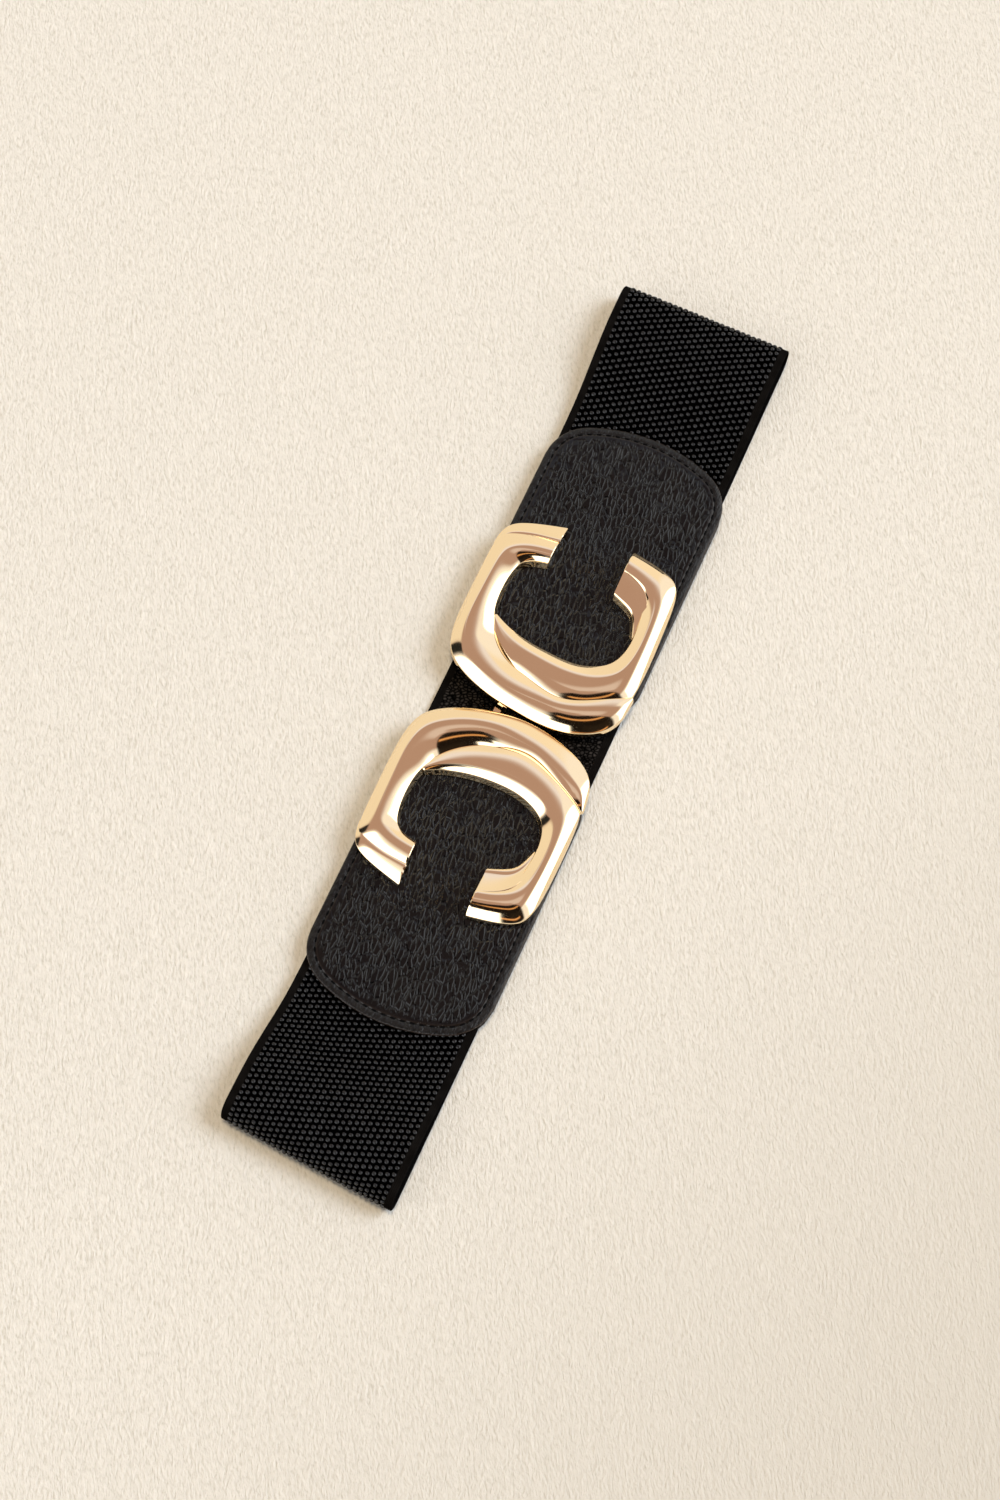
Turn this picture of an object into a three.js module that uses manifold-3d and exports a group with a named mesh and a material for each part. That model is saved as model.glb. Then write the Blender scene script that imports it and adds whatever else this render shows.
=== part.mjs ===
// An elastic waist belt with a two-part gold buckle, fastened and laid flat as a folded loop.
// Millimetres, +Z up. +Y runs along the belt and +X across it. The origin is on the resting surface, in the
// middle of the belt, on the line where the two buckle halves meet.
import * as THREE from "three";
import { mergeVertices } from "three/addons/utils/BufferGeometryUtils.js";
import Module from "manifold-3d";

const wasm = await Module();
wasm.setup();

// Elastic webbing
const WEB_HALF_WIDTH = 29.8;       // half of the 60 mm webbing
const WEB_THICKNESS = 1.8;
const SELVEDGE_WIDTH = 2.4;
const SELVEDGE_THICKNESS = 1.2;
const SELVEDGE_DROP = 0.5;         // how far its outer face lies below the middle's
const SELVEDGE_STEP = 0.4;         // the slope between the selvedge and the thicker middle
const WEB_END = 20;                // where each cut end lies, inside its leather panel
const BACK_CENTRE = 0.8;           // the back layer's middle, across the belt
const FOLD_RADIUS = 5;             // of the webbing's middle line: the springy loop stands up at its folds
const SPREAD_START = 95;           // where the spread towards the folds begins
const RISE_START = 111.5;          // where the front layer starts to rise to the fold
const RISE_END = 147;

// How the webbing lies at each end: from the middle to the outside of the fold, the front layer's middle across the
// belt, both layers' middle and half width at the fold, where the webbing spreads a little, and how askew the fold
// is, in mm along for each mm across
const UPPER_END = { reach: 162, front: 0.2, fold: -0.5, halfWidth: 30.7, skew: 0.013 };
const LOWER_END = { reach: 164.8, front: 1, fold: 0, halfWidth: 30.4, skew: 0.083 };

// Leather panels
const GAP = 0.3;                   // between pieces that lie on each other
const LEATHER = 1.2;               // thickness of one leather layer
const PANEL_CENTRE = 0.9;          // across the belt
const PANEL_HALF_WIDTH = 31.9;
const PANEL_REACH = 111.6;         // from the middle to the tip of the free end
const PANEL_END_RADIUS = 56;       // the shallow curve of the free end
const PANEL_CORNER_RADIUS = 16.2;
const PANEL_SHOULDER = 18;         // where the panel has its full width, beside the buckle
const SHOULDER_RADIUS = 2.6;
const TONGUE_HALF_WIDTH = 18.5;     // the narrow part that goes round the bar
const TONGUE_LENGTH = 3;           // from the bar's middle to where the tongue widens

// Buckle halves
const UPPER_CENTRE = -0.5;         // each half's middle across the belt: the clasp lets them slide a little
const LOWER_CENTRE = 0.4;
const BAR_Y = 11;                  // the bar that carries the leather
const BAR_RADIUS = 0.9;
const BAR_HALF_LENGTH = 23.4;
const BAR_SIDES = 12;
const POST_WIDTH = 2.7;
const POST_DEPTH = 4;
const WALL_DRAFT = 0.9;            // how far a side wall facing the opening leans out at its foot
const OUTER_DRAFT = 0.15;
const SINK = 1;                    // how far posts run up into the casting

// The upper casting is fuller than the lower one at its corner on the right of the middle: how far it is drawn out
// there along and across the belt, and where that starts and ends
const UPPER_CORNER = { along: 2.3, across: 0.6, xFrom: -4, xTo: 20, yFrom: 4, yTo: 50 };

// Clasp between the halves
const HOOK_HALF_WIDTH = 5.5;
const HOOK_THICKNESS = 1;
const HOOK_POST = { from: 1.2, to: 2.9 };
const HOOK_REACH = 6.4;
const HOOK_LIP_HEIGHT = 1.8;
const LOOP_HALF_WIDTH = 9.2;
const LOOP_WIRE = 2.4;
const LOOP_BAR = { from: 3.2, to: 5 };
const LOOP_HEIGHT = 1.8;
const LOOP_ROOT = { from: 5.7, to: 7.9 };

// Heights of the stack, from the surface up
const BACK_LEATHER_Z = WEB_THICKNESS + GAP;
const FRONT_WEB_Z = BACK_LEATHER_Z + LEATHER + GAP;
const FRONT_LEATHER_Z = FRONT_WEB_Z + WEB_THICKNESS + GAP;
const BUCKLE_Z = FRONT_LEATHER_Z + LEATHER + GAP;
const BAR_Z = FRONT_WEB_Z + WEB_THICKNESS / 2;
const HOOK_Z = BACK_LEATHER_Z;
const LOOP_Z = HOOK_Z + HOOK_THICKNESS + GAP;

// Each buckle half is four overlapping bands. A row gives a point on a band's outer edge, the point across from
// it on the inner edge, the height of the wall at each edge, the height of the crest and its place across, and how
// quickly the face falls away from the crest on each side: 1 is straight, higher is flat first and steep at the edge.
// A band runs with its outer edge on its right.
const BAND_COLUMNS = [
  "ox", "oy", "ix", "iy", "outerWall", "crest", "crestAt", "innerWall", "outerFall", "innerFall",
];
const MAIN_BAND = [
  [-12.0, 62.6, -12.2, 53.4, 2.7, 4.6, 0.55, 2.8, 1.6, 3.0],
  [-17.0, 62.1, -15.9, 52.8, 2.7, 4.6, 0.55, 2.8, 1.6, 2.8],
  [-22.5, 61.4, -18.8, 51.7, 2.6, 4.6, 0.55, 2.8, 1.6, 2.4],
  [-27.5, 60.0, -20.7, 50.0, 2.4, 4.7, 0.54, 2.8, 1.5, 1.8],
  [-30.9, 58.2, -21.6, 47.8, 2.3, 4.8, 0.52, 2.8, 1.4, 1.4],
  [-32.2, 54.5, -22.3, 44.8, 2.2, 4.8, 0.46, 2.8, 1.4, 1.3],
  [-32.4, 45.0, -22.7, 40.5, 2.2, 4.8, 0.44, 2.8, 1.4, 1.3],
  [-32.4, 35.0, -22.6, 35.5, 2.2, 4.8, 0.41, 2.8, 1.4, 1.4],
  [-32.4, 26.0, -21.9, 31.0, 2.2, 4.9, 0.36, 2.9, 1.4, 1.7],
  [-31.9, 19.5, -20.2, 27.2, 2.2, 5.0, 0.32, 2.7, 1.5, 2.0],
  [-30.2, 13.0, -18.0, 24.0, 2.2, 5.0, 0.34, 1.8, 1.6, 2.2],
  [-26.0, 8.8, -15.0, 20.8, 2.3, 5.0, 0.36, 1.7, 1.7, 2.2],
  [-19.5, 5.2, -10.9, 17.6, 2.3, 5.0, 0.38, 1.9, 1.8, 2.2],
  [-11.5, 2.5, -6.0, 14.8, 2.3, 5.0, 0.41, 2.5, 1.9, 2.2],
  [-3.0, 1.0, -0.8, 12.6, 2.3, 4.9, 0.50, 3.6, 2.0, 2.2],
  [4.5, 0.7, 3.9, 11.5, 2.1, 4.8, 0.68, 4.1, 2.0, 2.0],
  [11.5, 1.6, 8.4, 11.3, 1.8, 4.8, 0.72, 4.1, 2.0, 2.0],
  [18.5, 3.6, 13.2, 12.6, 1.7, 4.7, 0.76, 4.1, 2.0, 2.0],
  [24.5, 6.0, 18.2, 15.0, 1.7, 4.6, 0.75, 4.1, 2.0, 2.0],
  [29.0, 9.6, 23.2, 17.5, 1.7, 4.4, 0.70, 4.0, 2.0, 2.0],
  [31.3, 13.8, 27.2, 19.6, 2.0, 4.0, 0.60, 3.8, 2.0, 2.0],
  [32.1, 18.5, 30.4, 21.3, 1.9, 3.2, 0.55, 3.0, 2.0, 2.0],
  [32.3, 22.0, 31.7, 22.6, 1.8, 2.2, 0.60, 2.1, 2.0, 2.0],
];
const SECOND_BAND = [
  [-22.3, 28.6, -20.5, 30.0, 1.8, 2.5, 0.55, 2.3, 1.5, 1.3],
  [-18.3, 23.2, -16.6, 27.9, 2.9, 3.2, 0.50, 2.4, 1.5, 1.6],
  [-11.0, 17.0, -10.8, 26.0, 3.5, 4.0, 0.55, 2.3, 2.0, 2.1],
  [-3.0, 12.0, -4.2, 24.8, 2.5, 4.3, 0.65, 2.3, 2.6, 2.2],
  [5.0, 8.5, 3.3, 24.4, 1.3, 4.4, 0.70, 2.3, 3.2, 2.2],
  [13.0, 9.5, 9.8, 24.8, 1.0, 4.4, 0.71, 2.3, 3.0, 2.2],
  [21.0, 12.5, 14.8, 26.3, 1.0, 4.4, 0.68, 2.4, 2.8, 2.0],
  [28.0, 16.5, 19.0, 28.4, 1.2, 4.5, 0.67, 2.5, 2.6, 1.7],
  [31.6, 21.0, 22.0, 31.2, 1.5, 4.7, 0.66, 2.6, 2.4, 1.3],
  [32.3, 28.0, 23.6, 35.5, 1.7, 4.8, 0.61, 2.7, 2.4, 1.3],
  [32.5, 37.0, 24.1, 39.5, 1.6, 4.8, 0.57, 2.8, 2.4, 1.3],
  [32.3, 47.0, 23.8, 44.5, 1.6, 4.8, 0.56, 2.8, 2.4, 1.3],
  [31.9, 55.0, 23.2, 50.0, 1.6, 4.8, 0.57, 3.0, 2.3, 1.4],
  [31.2, 60.5, 22.3, 53.4, 1.6, 4.8, 0.60, 3.1, 2.2, 2.0],
  [29.3, 64.6, 20.7, 55.8, 1.7, 4.7, 0.66, 3.2, 2.2, 3.0],
  [25.5, 66.6, 18.6, 57.3, 1.7, 4.7, 0.68, 3.2, 2.2, 3.5],
  [19.0, 68.3, 15.8, 58.5, 1.7, 4.6, 0.66, 3.2, 2.2, 3.5],
  [12.1, 69.4, 11.9, 59.5, 1.7, 4.6, 0.65, 3.2, 2.2, 3.5],
];
const OUTER_STRIP = [
  [-11.6, 68.6, -11.8, 61.9, 1.8, 3.8, 0.90, 3.7, 1.3, 2.0],
  [-17.5, 67.1, -16.5, 61.4, 1.8, 3.6, 0.90, 3.5, 1.3, 2.0],
  [-24.0, 65.2, -21.4, 60.6, 1.8, 3.3, 0.85, 3.2, 1.3, 2.0],
  [-29.6, 62.7, -27.0, 58.7, 1.8, 3.0, 0.80, 2.9, 1.3, 2.0],
  [-31.9, 58.4, -29.8, 56.6, 1.7, 2.6, 0.70, 2.5, 1.3, 2.0],
  [-32.3, 53.5, -30.7, 53.5, 1.6, 1.9, 0.60, 1.8, 1.3, 2.0],
];
const INNER_FLAP = [
  [25.0, 40.0, 23.5, 40.3, 1.6, 1.6, 0.60, 1.4, 1.2, 2.0],
  [25.2, 45.5, 21.9, 45.2, 2.9, 2.3, 0.60, 1.7, 1.2, 3.0],
  [24.5, 50.5, 20.3, 48.1, 3.7, 2.5, 0.62, 1.9, 1.2, 4.0],
  [22.8, 55.5, 18.0, 49.6, 4.2, 2.7, 0.68, 2.0, 1.2, 5.0],
  [18.0, 59.2, 15.0, 50.9, 4.4, 2.7, 0.78, 2.0, 1.2, 5.0],
  [12.0, 61.2, 11.9, 52.1, 4.4, 2.7, 0.82, 2.0, 1.2, 5.0],
];
const STEPS_PER_ROW = 2;           // sections made for each row of a band's table
const OUTER_POINTS = 3;            // points of a section from the outer wall to the crest
const INNER_POINTS = 3;            // points of a section from the crest to the inner wall

const leatherLook = new THREE.MeshStandardMaterial({ color: 0x19191a, roughness: 0.45, metalness: 0 });
const webbingLook = new THREE.MeshStandardMaterial({ color: 0x101013, roughness: 0.85, metalness: 0 });
const goldLook = new THREE.MeshStandardMaterial({ color: 0xe2b184, roughness: 0.12, metalness: 1 });

// Joining closed shapes

function toSolid(geometry) {
  const bare = geometry.clone();
  bare.deleteAttribute("normal");
  bare.deleteAttribute("uv");
  const merged = mergeVertices(bare, 1e-4);
  const vertProperties = Float32Array.from(merged.attributes.position.array);
  const triVerts = Uint32Array.from(merged.index.array);
  return new wasm.Manifold(new wasm.Mesh({ numProp: 3, vertProperties, triVerts }));
}

function toGeometry(solid) {
  const mesh = solid.getMesh();
  const geometry = new THREE.BufferGeometry();
  geometry.setAttribute("position", new THREE.BufferAttribute(mesh.vertProperties, 3));
  geometry.setIndex(new THREE.BufferAttribute(mesh.triVerts, 1));
  return geometry;
}

function unite(geometries) {
  return geometries.map(toSolid).reduce((whole, piece) => whole.add(piece));
}

// A closed skin through rings of equal length. The end caps are cut from the flat outlines of the end rings.
function loft(rings, firstOutline, lastOutline) {
  const count = rings[0].length;
  const positions = rings.flat().flatMap((point) => [point.x, point.y, point.z]);
  const index = [];
  for (let ring = 0; ring < rings.length - 1; ring++) {
    for (let side = 0; side < count; side++) {
      const here = ring * count + side;
      const next = ring * count + (side + 1) % count;
      index.push(here, next, next + count, here, next + count, here + count);
    }
  }
  const lastStart = (rings.length - 1) * count;
  for (const [a, b, c] of THREE.ShapeUtils.triangulateShape(firstOutline, [])) {
    index.push(a, c, b);
  }
  for (const [a, b, c] of THREE.ShapeUtils.triangulateShape(lastOutline, [])) {
    index.push(lastStart + a, lastStart + b, lastStart + c);
  }
  const geometry = new THREE.BufferGeometry();
  geometry.setAttribute("position", new THREE.Float32BufferAttribute(positions, 3));
  geometry.setIndex(index);
  return geometry;
}

function box(xFrom, xTo, yFrom, yTo, zFrom, zTo) {
  const geometry = new THREE.BoxGeometry(xTo - xFrom, yTo - yFrom, zTo - zFrom);
  return geometry.translate((xFrom + xTo) / 2, (yFrom + yTo) / 2, (zFrom + zTo) / 2);
}

function mirrored(geometry) {
  const copy = geometry.clone().applyMatrix4(new THREE.Matrix4().makeScale(1, -1, 1));
  const index = copy.index.array;
  for (let i = 0; i < index.length; i += 3) {
    [index[i], index[i + 1]] = [index[i + 1], index[i]];
  }
  return copy;
}

// Elastic band

// 0 before the start, 1 from the end on, and a smooth rise between
function ease(value, start, end) {
  return THREE.MathUtils.smoothstep(value, start, end);
}

// The webbing's section, as points across its width and through its thickness, anticlockwise
function webSection(halfWidth) {
  const body = WEB_THICKNESS / 2;
  const outer = body - SELVEDGE_DROP;
  const inner = outer - SELVEDGE_THICKNESS;
  const edge = halfWidth - SELVEDGE_WIDTH;
  const inside = edge - SELVEDGE_STEP;
  const right = [[inside, -body], [edge, inner], [halfWidth, inner], [halfWidth, outer], [edge, outer], [inside, body]];
  const left = right.map(([across, through]) => [-across, through]).reverse();
  return [...right, ...left].map(([across, through]) => new THREE.Vector2(across, through));
}

// One end's half of the webbing's middle line in the plane of Y and Z, with its direction, from the cut end round
// the fold and back to the belt's middle
function halfPath(end) {
  const frontZ = FRONT_WEB_Z + WEB_THICKNESS / 2;
  const backZ = WEB_THICKNESS / 2;
  const foldMiddle = end.reach - WEB_THICKNESS / 2 - FOLD_RADIUS;
  const rise = backZ + 2 * FOLD_RADIUS - frontZ;
  const front = [WEB_END, 60, SPREAD_START, 105, RISE_START, 118, 124, 130, 136, 142, RISE_END, foldMiddle];
  const half = front.map((y) => ({ y, z: frontZ + rise * ease(y, RISE_START, RISE_END), turn: 0, layer: 0 }));
  const turns = 10;
  for (let i = 1; i < turns; i++) {
    const turn = Math.PI * i / turns;
    const y = foldMiddle + FOLD_RADIUS * Math.sin(turn);
    half.push({ y, z: backZ + FOLD_RADIUS * (1 + Math.cos(turn)), turn, layer: i / turns });
  }
  for (const y of [foldMiddle, 148, 132, 116, 95, 50]) {
    half.push({ y, z: backZ, turn: Math.PI, layer: 1 });
  }
  return half;
}

// The whole middle line, from the lower cut end to the upper one
function webPath() {
  const upper = halfPath(UPPER_END);
  const lower = halfPath(LOWER_END).map(({ y, z, turn, layer }) => ({ y: -y, z, turn: 2 * Math.PI - turn, layer }));
  const middle = { y: 0, z: WEB_THICKNESS / 2, turn: Math.PI, layer: 1 };
  return [...lower, middle, ...upper.reverse()];
}

function makeElasticBand() {
  const rings = webPath().map(({ y, z, turn, layer }) => {
    const end = y > 0 ? UPPER_END : LOWER_END;
    const spread = ease(Math.abs(y), SPREAD_START, end.reach);
    const resting = THREE.MathUtils.lerp(end.front, BACK_CENTRE, layer);
    const centre = THREE.MathUtils.lerp(resting, end.fold, spread);
    const halfWidth = THREE.MathUtils.lerp(WEB_HALF_WIDTH, end.halfWidth, spread);
    const skew = end.skew * spread;
    return webSection(halfWidth).map(({ x: across, y: through }) => new THREE.Vector3(
      centre + across,
      y + through * Math.sin(turn) - skew * (across - end.halfWidth),
      z + through * Math.cos(turn),
    ));
  });
  const outline = webSection(WEB_HALF_WIDTH);
  return loft(rings, outline, outline);
}

// Leather panels

// The panel's outline, from the bar's line to the free end
function panelOutline() {
  const halfSpan = PANEL_END_RADIUS - PANEL_CORNER_RADIUS;
  const cornerX = PANEL_HALF_WIDTH - PANEL_CORNER_RADIUS;
  const meet = Math.asin(cornerX / halfSpan);
  const endMiddle = PANEL_REACH - PANEL_END_RADIUS;
  const cornerY = endMiddle + halfSpan * Math.cos(meet);
  const tongueTop = BAR_Y + TONGUE_LENGTH;
  const shoulderX = PANEL_HALF_WIDTH - SHOULDER_RADIUS;
  const shoulderY = PANEL_SHOULDER + SHOULDER_RADIUS;
  const shape = new THREE.Shape();
  shape.moveTo(-TONGUE_HALF_WIDTH, BAR_Y);
  shape.lineTo(TONGUE_HALF_WIDTH, BAR_Y);
  shape.lineTo(TONGUE_HALF_WIDTH, tongueTop);
  shape.lineTo(shoulderX, PANEL_SHOULDER);
  shape.absarc(shoulderX, shoulderY, SHOULDER_RADIUS, -Math.PI / 2, 0, false);
  shape.lineTo(PANEL_HALF_WIDTH, cornerY);
  shape.absarc(cornerX, cornerY, PANEL_CORNER_RADIUS, 0, Math.PI / 2 - meet, false);
  shape.absarc(0, endMiddle, PANEL_END_RADIUS, Math.PI / 2 - meet, Math.PI / 2 + meet, false);
  shape.absarc(-cornerX, cornerY, PANEL_CORNER_RADIUS, Math.PI / 2 + meet, Math.PI, false);
  shape.lineTo(-PANEL_HALF_WIDTH, shoulderY);
  shape.absarc(-shoulderX, shoulderY, SHOULDER_RADIUS, Math.PI, Math.PI * 1.5, false);
  shape.lineTo(-TONGUE_HALF_WIDTH, tongueTop);
  return shape;
}

// The bend of the leather round the bar, on the side away from the panel
function leatherBend() {
  const inner = WEB_THICKNESS / 2 + GAP;
  const shape = new THREE.Shape();
  shape.absarc(0, 0, inner + LEATHER, Math.PI / 2, Math.PI * 1.5, false);
  shape.absarc(0, 0, inner, Math.PI * 1.5, Math.PI / 2, true);
  const depth = 2 * TONGUE_HALF_WIDTH;
  const bend = new THREE.ExtrudeGeometry(shape, { depth, bevelEnabled: false, curveSegments: 10 });
  const across = new THREE.Matrix4().makeBasis(
    new THREE.Vector3(0, 1, 0),
    new THREE.Vector3(0, 0, 1),
    new THREE.Vector3(1, 0, 0),
  );
  return bend.applyMatrix4(across).translate(-TONGUE_HALF_WIDTH, BAR_Y, BAR_Z);
}

function makeLeatherPanel() {
  const layer = { depth: LEATHER, bevelEnabled: false, curveSegments: 12 };
  const front = new THREE.ExtrudeGeometry(panelOutline(), layer).translate(0, 0, FRONT_LEATHER_Z);
  const back = new THREE.ExtrudeGeometry(panelOutline(), layer).translate(0, 0, BACK_LEATHER_Z);
  return toGeometry(unite([front, back, leatherBend()])).translate(PANEL_CENTRE, 0, 0);
}

// Buckle halves

// Rows along a cubic B-spline through a table, which starts and ends on the first and last rows
function smoothRows(table) {
  const mirrorRow = (end, next) => end.map((value, column) => 2 * value - next[column]);
  const last = table.length - 1;
  const control = [mirrorRow(table[0], table[1]), ...table, mirrorRow(table[last], table[last - 1])];
  const rows = [];
  for (let step = 0; step <= last * STEPS_PER_ROW; step++) {
    const at = Math.min(Math.floor(step / STEPS_PER_ROW), last - 1);
    const t = step / STEPS_PER_ROW - at;
    const weights = [(1 - t) ** 3, 3 * t ** 3 - 6 * t ** 2 + 4, -3 * t ** 3 + 3 * t ** 2 + 3 * t + 1, t ** 3];
    const row = {};
    BAND_COLUMNS.forEach((name, column) => {
      row[name] = weights.reduce((sum, weight, i) => sum + weight * control[at + i][column], 0) / 6;
    });
    rows.push(row);
  }
  return rows;
}

// A band's section, as distances from its outer edge and heights, anticlockwise
function bandSection(row) {
  const width = Math.hypot(row.ix - row.ox, row.iy - row.oy);
  const points = [new THREE.Vector2(-OUTER_DRAFT, 0), new THREE.Vector2(width + WALL_DRAFT, 0)];
  for (let i = INNER_POINTS; i > 0; i--) {
    const part = i / INNER_POINTS;
    const height = row.innerWall + (row.crest - row.innerWall) * (1 - part ** row.innerFall);
    points.push(new THREE.Vector2((row.crestAt + part * (1 - row.crestAt)) * width, height));
  }
  for (let i = OUTER_POINTS; i >= 0; i--) {
    const part = i / OUTER_POINTS;
    const height = row.outerWall + (row.crest - row.outerWall) * (1 - (1 - part) ** row.outerFall);
    points.push(new THREE.Vector2(part * row.crestAt * width, height));
  }
  return points;
}

function makeBand(table) {
  const rows = smoothRows(table);
  const outlines = rows.map(bandSection);
  const rings = rows.map((row, i) => {
    const width = Math.hypot(row.ix - row.ox, row.iy - row.oy);
    const acrossX = (row.ix - row.ox) / width;
    const acrossY = (row.iy - row.oy) / width;
    return outlines[i].map(({ x: across, y: height }) => new THREE.Vector3(
      row.ox + across * acrossX,
      row.oy + across * acrossY,
      BUCKLE_Z + height,
    ));
  });
  return loft(rings, outlines[0], outlines[outlines.length - 1]);
}

function makeBar() {
  const bar = new THREE.CylinderGeometry(BAR_RADIUS, BAR_RADIUS, 2 * BAR_HALF_LENGTH, BAR_SIDES);
  return bar.rotateZ(Math.PI / 2).translate(0, BAR_Y, BAR_Z);
}

function makePost(side) {
  const inside = BAR_HALF_LENGTH - POST_WIDTH;
  const from = side < 0 ? -BAR_HALF_LENGTH : inside;
  const foot = BAR_Z - BAR_RADIUS;
  return box(from, from + POST_WIDTH, BAR_Y - POST_DEPTH / 2, BAR_Y + POST_DEPTH / 2, foot, BUCKLE_Z + SINK);
}

// A band of the upper casting, drawn out at the fuller corner
function drawnOut(band) {
  const points = band.attributes.position;
  for (let i = 0; i < points.count; i++) {
    const beside = ease(points.getX(i), UPPER_CORNER.xFrom, UPPER_CORNER.xTo);
    const share = beside * (1 - ease(points.getY(i), UPPER_CORNER.yFrom, UPPER_CORNER.yTo));
    points.setX(i, points.getX(i) + UPPER_CORNER.across * share);
    points.setY(i, points.getY(i) - UPPER_CORNER.along * share);
  }
  return band;
}

function castingBands() {
  return [MAIN_BAND, SECOND_BAND, OUTER_STRIP, INNER_FLAP].map(makeBand);
}

function carrierParts() {
  return [makeBar(), makePost(-1), makePost(1)];
}

// The flat hook of the upper half: down behind the casting, then under the loop's bar, with a lip
function hookParts() {
  const half = HOOK_HALF_WIDTH;
  const top = HOOK_Z + HOOK_THICKNESS;
  return [
    box(-half, half, HOOK_POST.from, HOOK_POST.to, HOOK_Z, BUCKLE_Z + SINK),
    box(-half, half, HOOK_POST.from, HOOK_REACH, HOOK_Z, top),
    box(-half, half, HOOK_REACH - HOOK_THICKNESS, HOOK_REACH, HOOK_Z, HOOK_Z + HOOK_LIP_HEIGHT),
  ];
}

// The loop of the lower half, made on the upper side and mirrored with its casting
function loopParts() {
  const outside = LOOP_HALF_WIDTH;
  const inside = outside - LOOP_WIRE;
  const top = LOOP_Z + LOOP_HEIGHT;
  return [
    box(-outside, -inside, -LOOP_BAR.to, LOOP_ROOT.to, LOOP_Z, top),
    box(inside, outside, -LOOP_BAR.to, LOOP_ROOT.to, LOOP_Z, top),
    box(-outside, outside, -LOOP_BAR.to, -LOOP_BAR.from, LOOP_Z, top),
    box(-outside, outside, LOOP_ROOT.from, LOOP_ROOT.to, LOOP_Z, BUCKLE_Z + SINK),
  ];
}

function makeUpperBuckle() {
  const bands = castingBands().map(drawnOut);
  return toGeometry(unite([...bands, ...carrierParts(), ...hookParts()])).translate(UPPER_CENTRE, 0, 0);
}

function makeLowerBuckle() {
  const parts = [...castingBands(), ...carrierParts(), ...loopParts()];
  return mirrored(toGeometry(unite(parts))).translate(LOWER_CENTRE, 0, 0);
}

// The belt

function addPiece(belt, name, geometry, look) {
  const mesh = new THREE.Mesh(geometry, look);
  mesh.name = name;
  belt.add(mesh);
}

const belt = new THREE.Group();
const panel = makeLeatherPanel();
addPiece(belt, "elastic_band", makeElasticBand(), webbingLook);
addPiece(belt, "leather_panel_upper", panel, leatherLook);
addPiece(belt, "leather_panel_lower", mirrored(panel), leatherLook);
addPiece(belt, "buckle_upper", makeUpperBuckle(), goldLook);
addPiece(belt, "buckle_lower", makeLowerBuckle(), goldLook);

export default belt;
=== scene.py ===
import math
import random

import bpy
from mathutils import Matrix, Vector
from mathutils.kdtree import KDTree


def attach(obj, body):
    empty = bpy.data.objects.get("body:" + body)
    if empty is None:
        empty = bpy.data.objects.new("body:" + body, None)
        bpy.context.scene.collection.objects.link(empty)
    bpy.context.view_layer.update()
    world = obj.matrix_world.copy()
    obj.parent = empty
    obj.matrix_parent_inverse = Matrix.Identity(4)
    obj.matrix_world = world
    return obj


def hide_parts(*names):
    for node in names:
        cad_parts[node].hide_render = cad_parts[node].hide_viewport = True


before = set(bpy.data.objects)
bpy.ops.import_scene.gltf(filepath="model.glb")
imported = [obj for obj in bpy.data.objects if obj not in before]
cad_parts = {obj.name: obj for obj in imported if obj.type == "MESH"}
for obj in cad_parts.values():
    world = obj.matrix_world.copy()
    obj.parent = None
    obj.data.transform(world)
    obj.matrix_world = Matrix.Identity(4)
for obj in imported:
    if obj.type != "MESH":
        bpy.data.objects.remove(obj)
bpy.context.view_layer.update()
random.seed(7)

# Sizes are in millimetres, as in the model's own source, and become metres where a mesh is made.
MM = 0.001

# Elastic webbing
WEB_HALF_WIDTH = 29.8
WEB_THICKNESS = 1.8
SELVEDGE_WIDTH = 2.4
SELVEDGE_THICKNESS = 1.2
SELVEDGE_DROP = 0.5  # how far it lies below the pebbles' tops
SELVEDGE_STEP = 0.4
WEB_END = 20
BACK_CENTRE = 0.8
FOLD_RADIUS = 5
FOLD_STEP = 0.5  # between the band's sections round a fold
SPREAD_START = 95
RISE_START = 111.5
RISE_END = 147
UPPER_END = {"reach": 162, "front": 0.2, "fold": -0.5, "half_width": 30.7, "skew": 0.013}
LOWER_END = {"reach": 164.8, "front": 1, "fold": 0, "half_width": 30.4, "skew": 0.083}
WEB_STEP = 1  # between the band's sections elsewhere

# Weave
PEBBLE_PITCH_ACROSS = 1.9
LOWER_PITCH_ALONG = 2.05
UPPER_PITCH_ALONG = 2.45  # the elastic is stretched more there
PEBBLE_SLANT = -0.43  # of the pitch along, from one column to the next
PEBBLE_HALF_WIDTH = 0.94
PEBBLE_HALF_LENGTH = 0.86
PEBBLE_HEIGHT = 0.75
PEBBLE_SINK = 0.1
PEBBLE_DOME = (2.1, 0.7)  # powers that round its section
PEBBLE_SQUARE = 3  # power that rounds its outline, where 2 is a circle
PEBBLE_WIDTHS = (0.92, 1.06)  # shares of the sizes above, drawn for each pebble
PEBBLE_LENGTHS = (0.88, 1.1)
PEBBLE_HEIGHTS = (0.8, 1.0)
PEBBLE_LEAN = 0.12
PEBBLE_WANDER = 0.08
PITCH_CHANGE = (0.3, 0.7)  # where along the elastic, as shares, one pitch turns into the other
WEAVE_UNDER_PANEL = 20  # how far the pebbles go on under a panel
WEAVE_PAST_FOLD = 12  # where the plainer pebbles of the back start
SELVEDGE_RIBS = 4
SELVEDGE_RIB_HEIGHT = 0.06
SELVEDGE_ROUND = 0.2  # the share of a selvedge that its rounded edge takes
SELVEDGE_EDGE = 0.15  # the share of its thickness that is left at the very edge
POINTS_PER_RIB = 5

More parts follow.
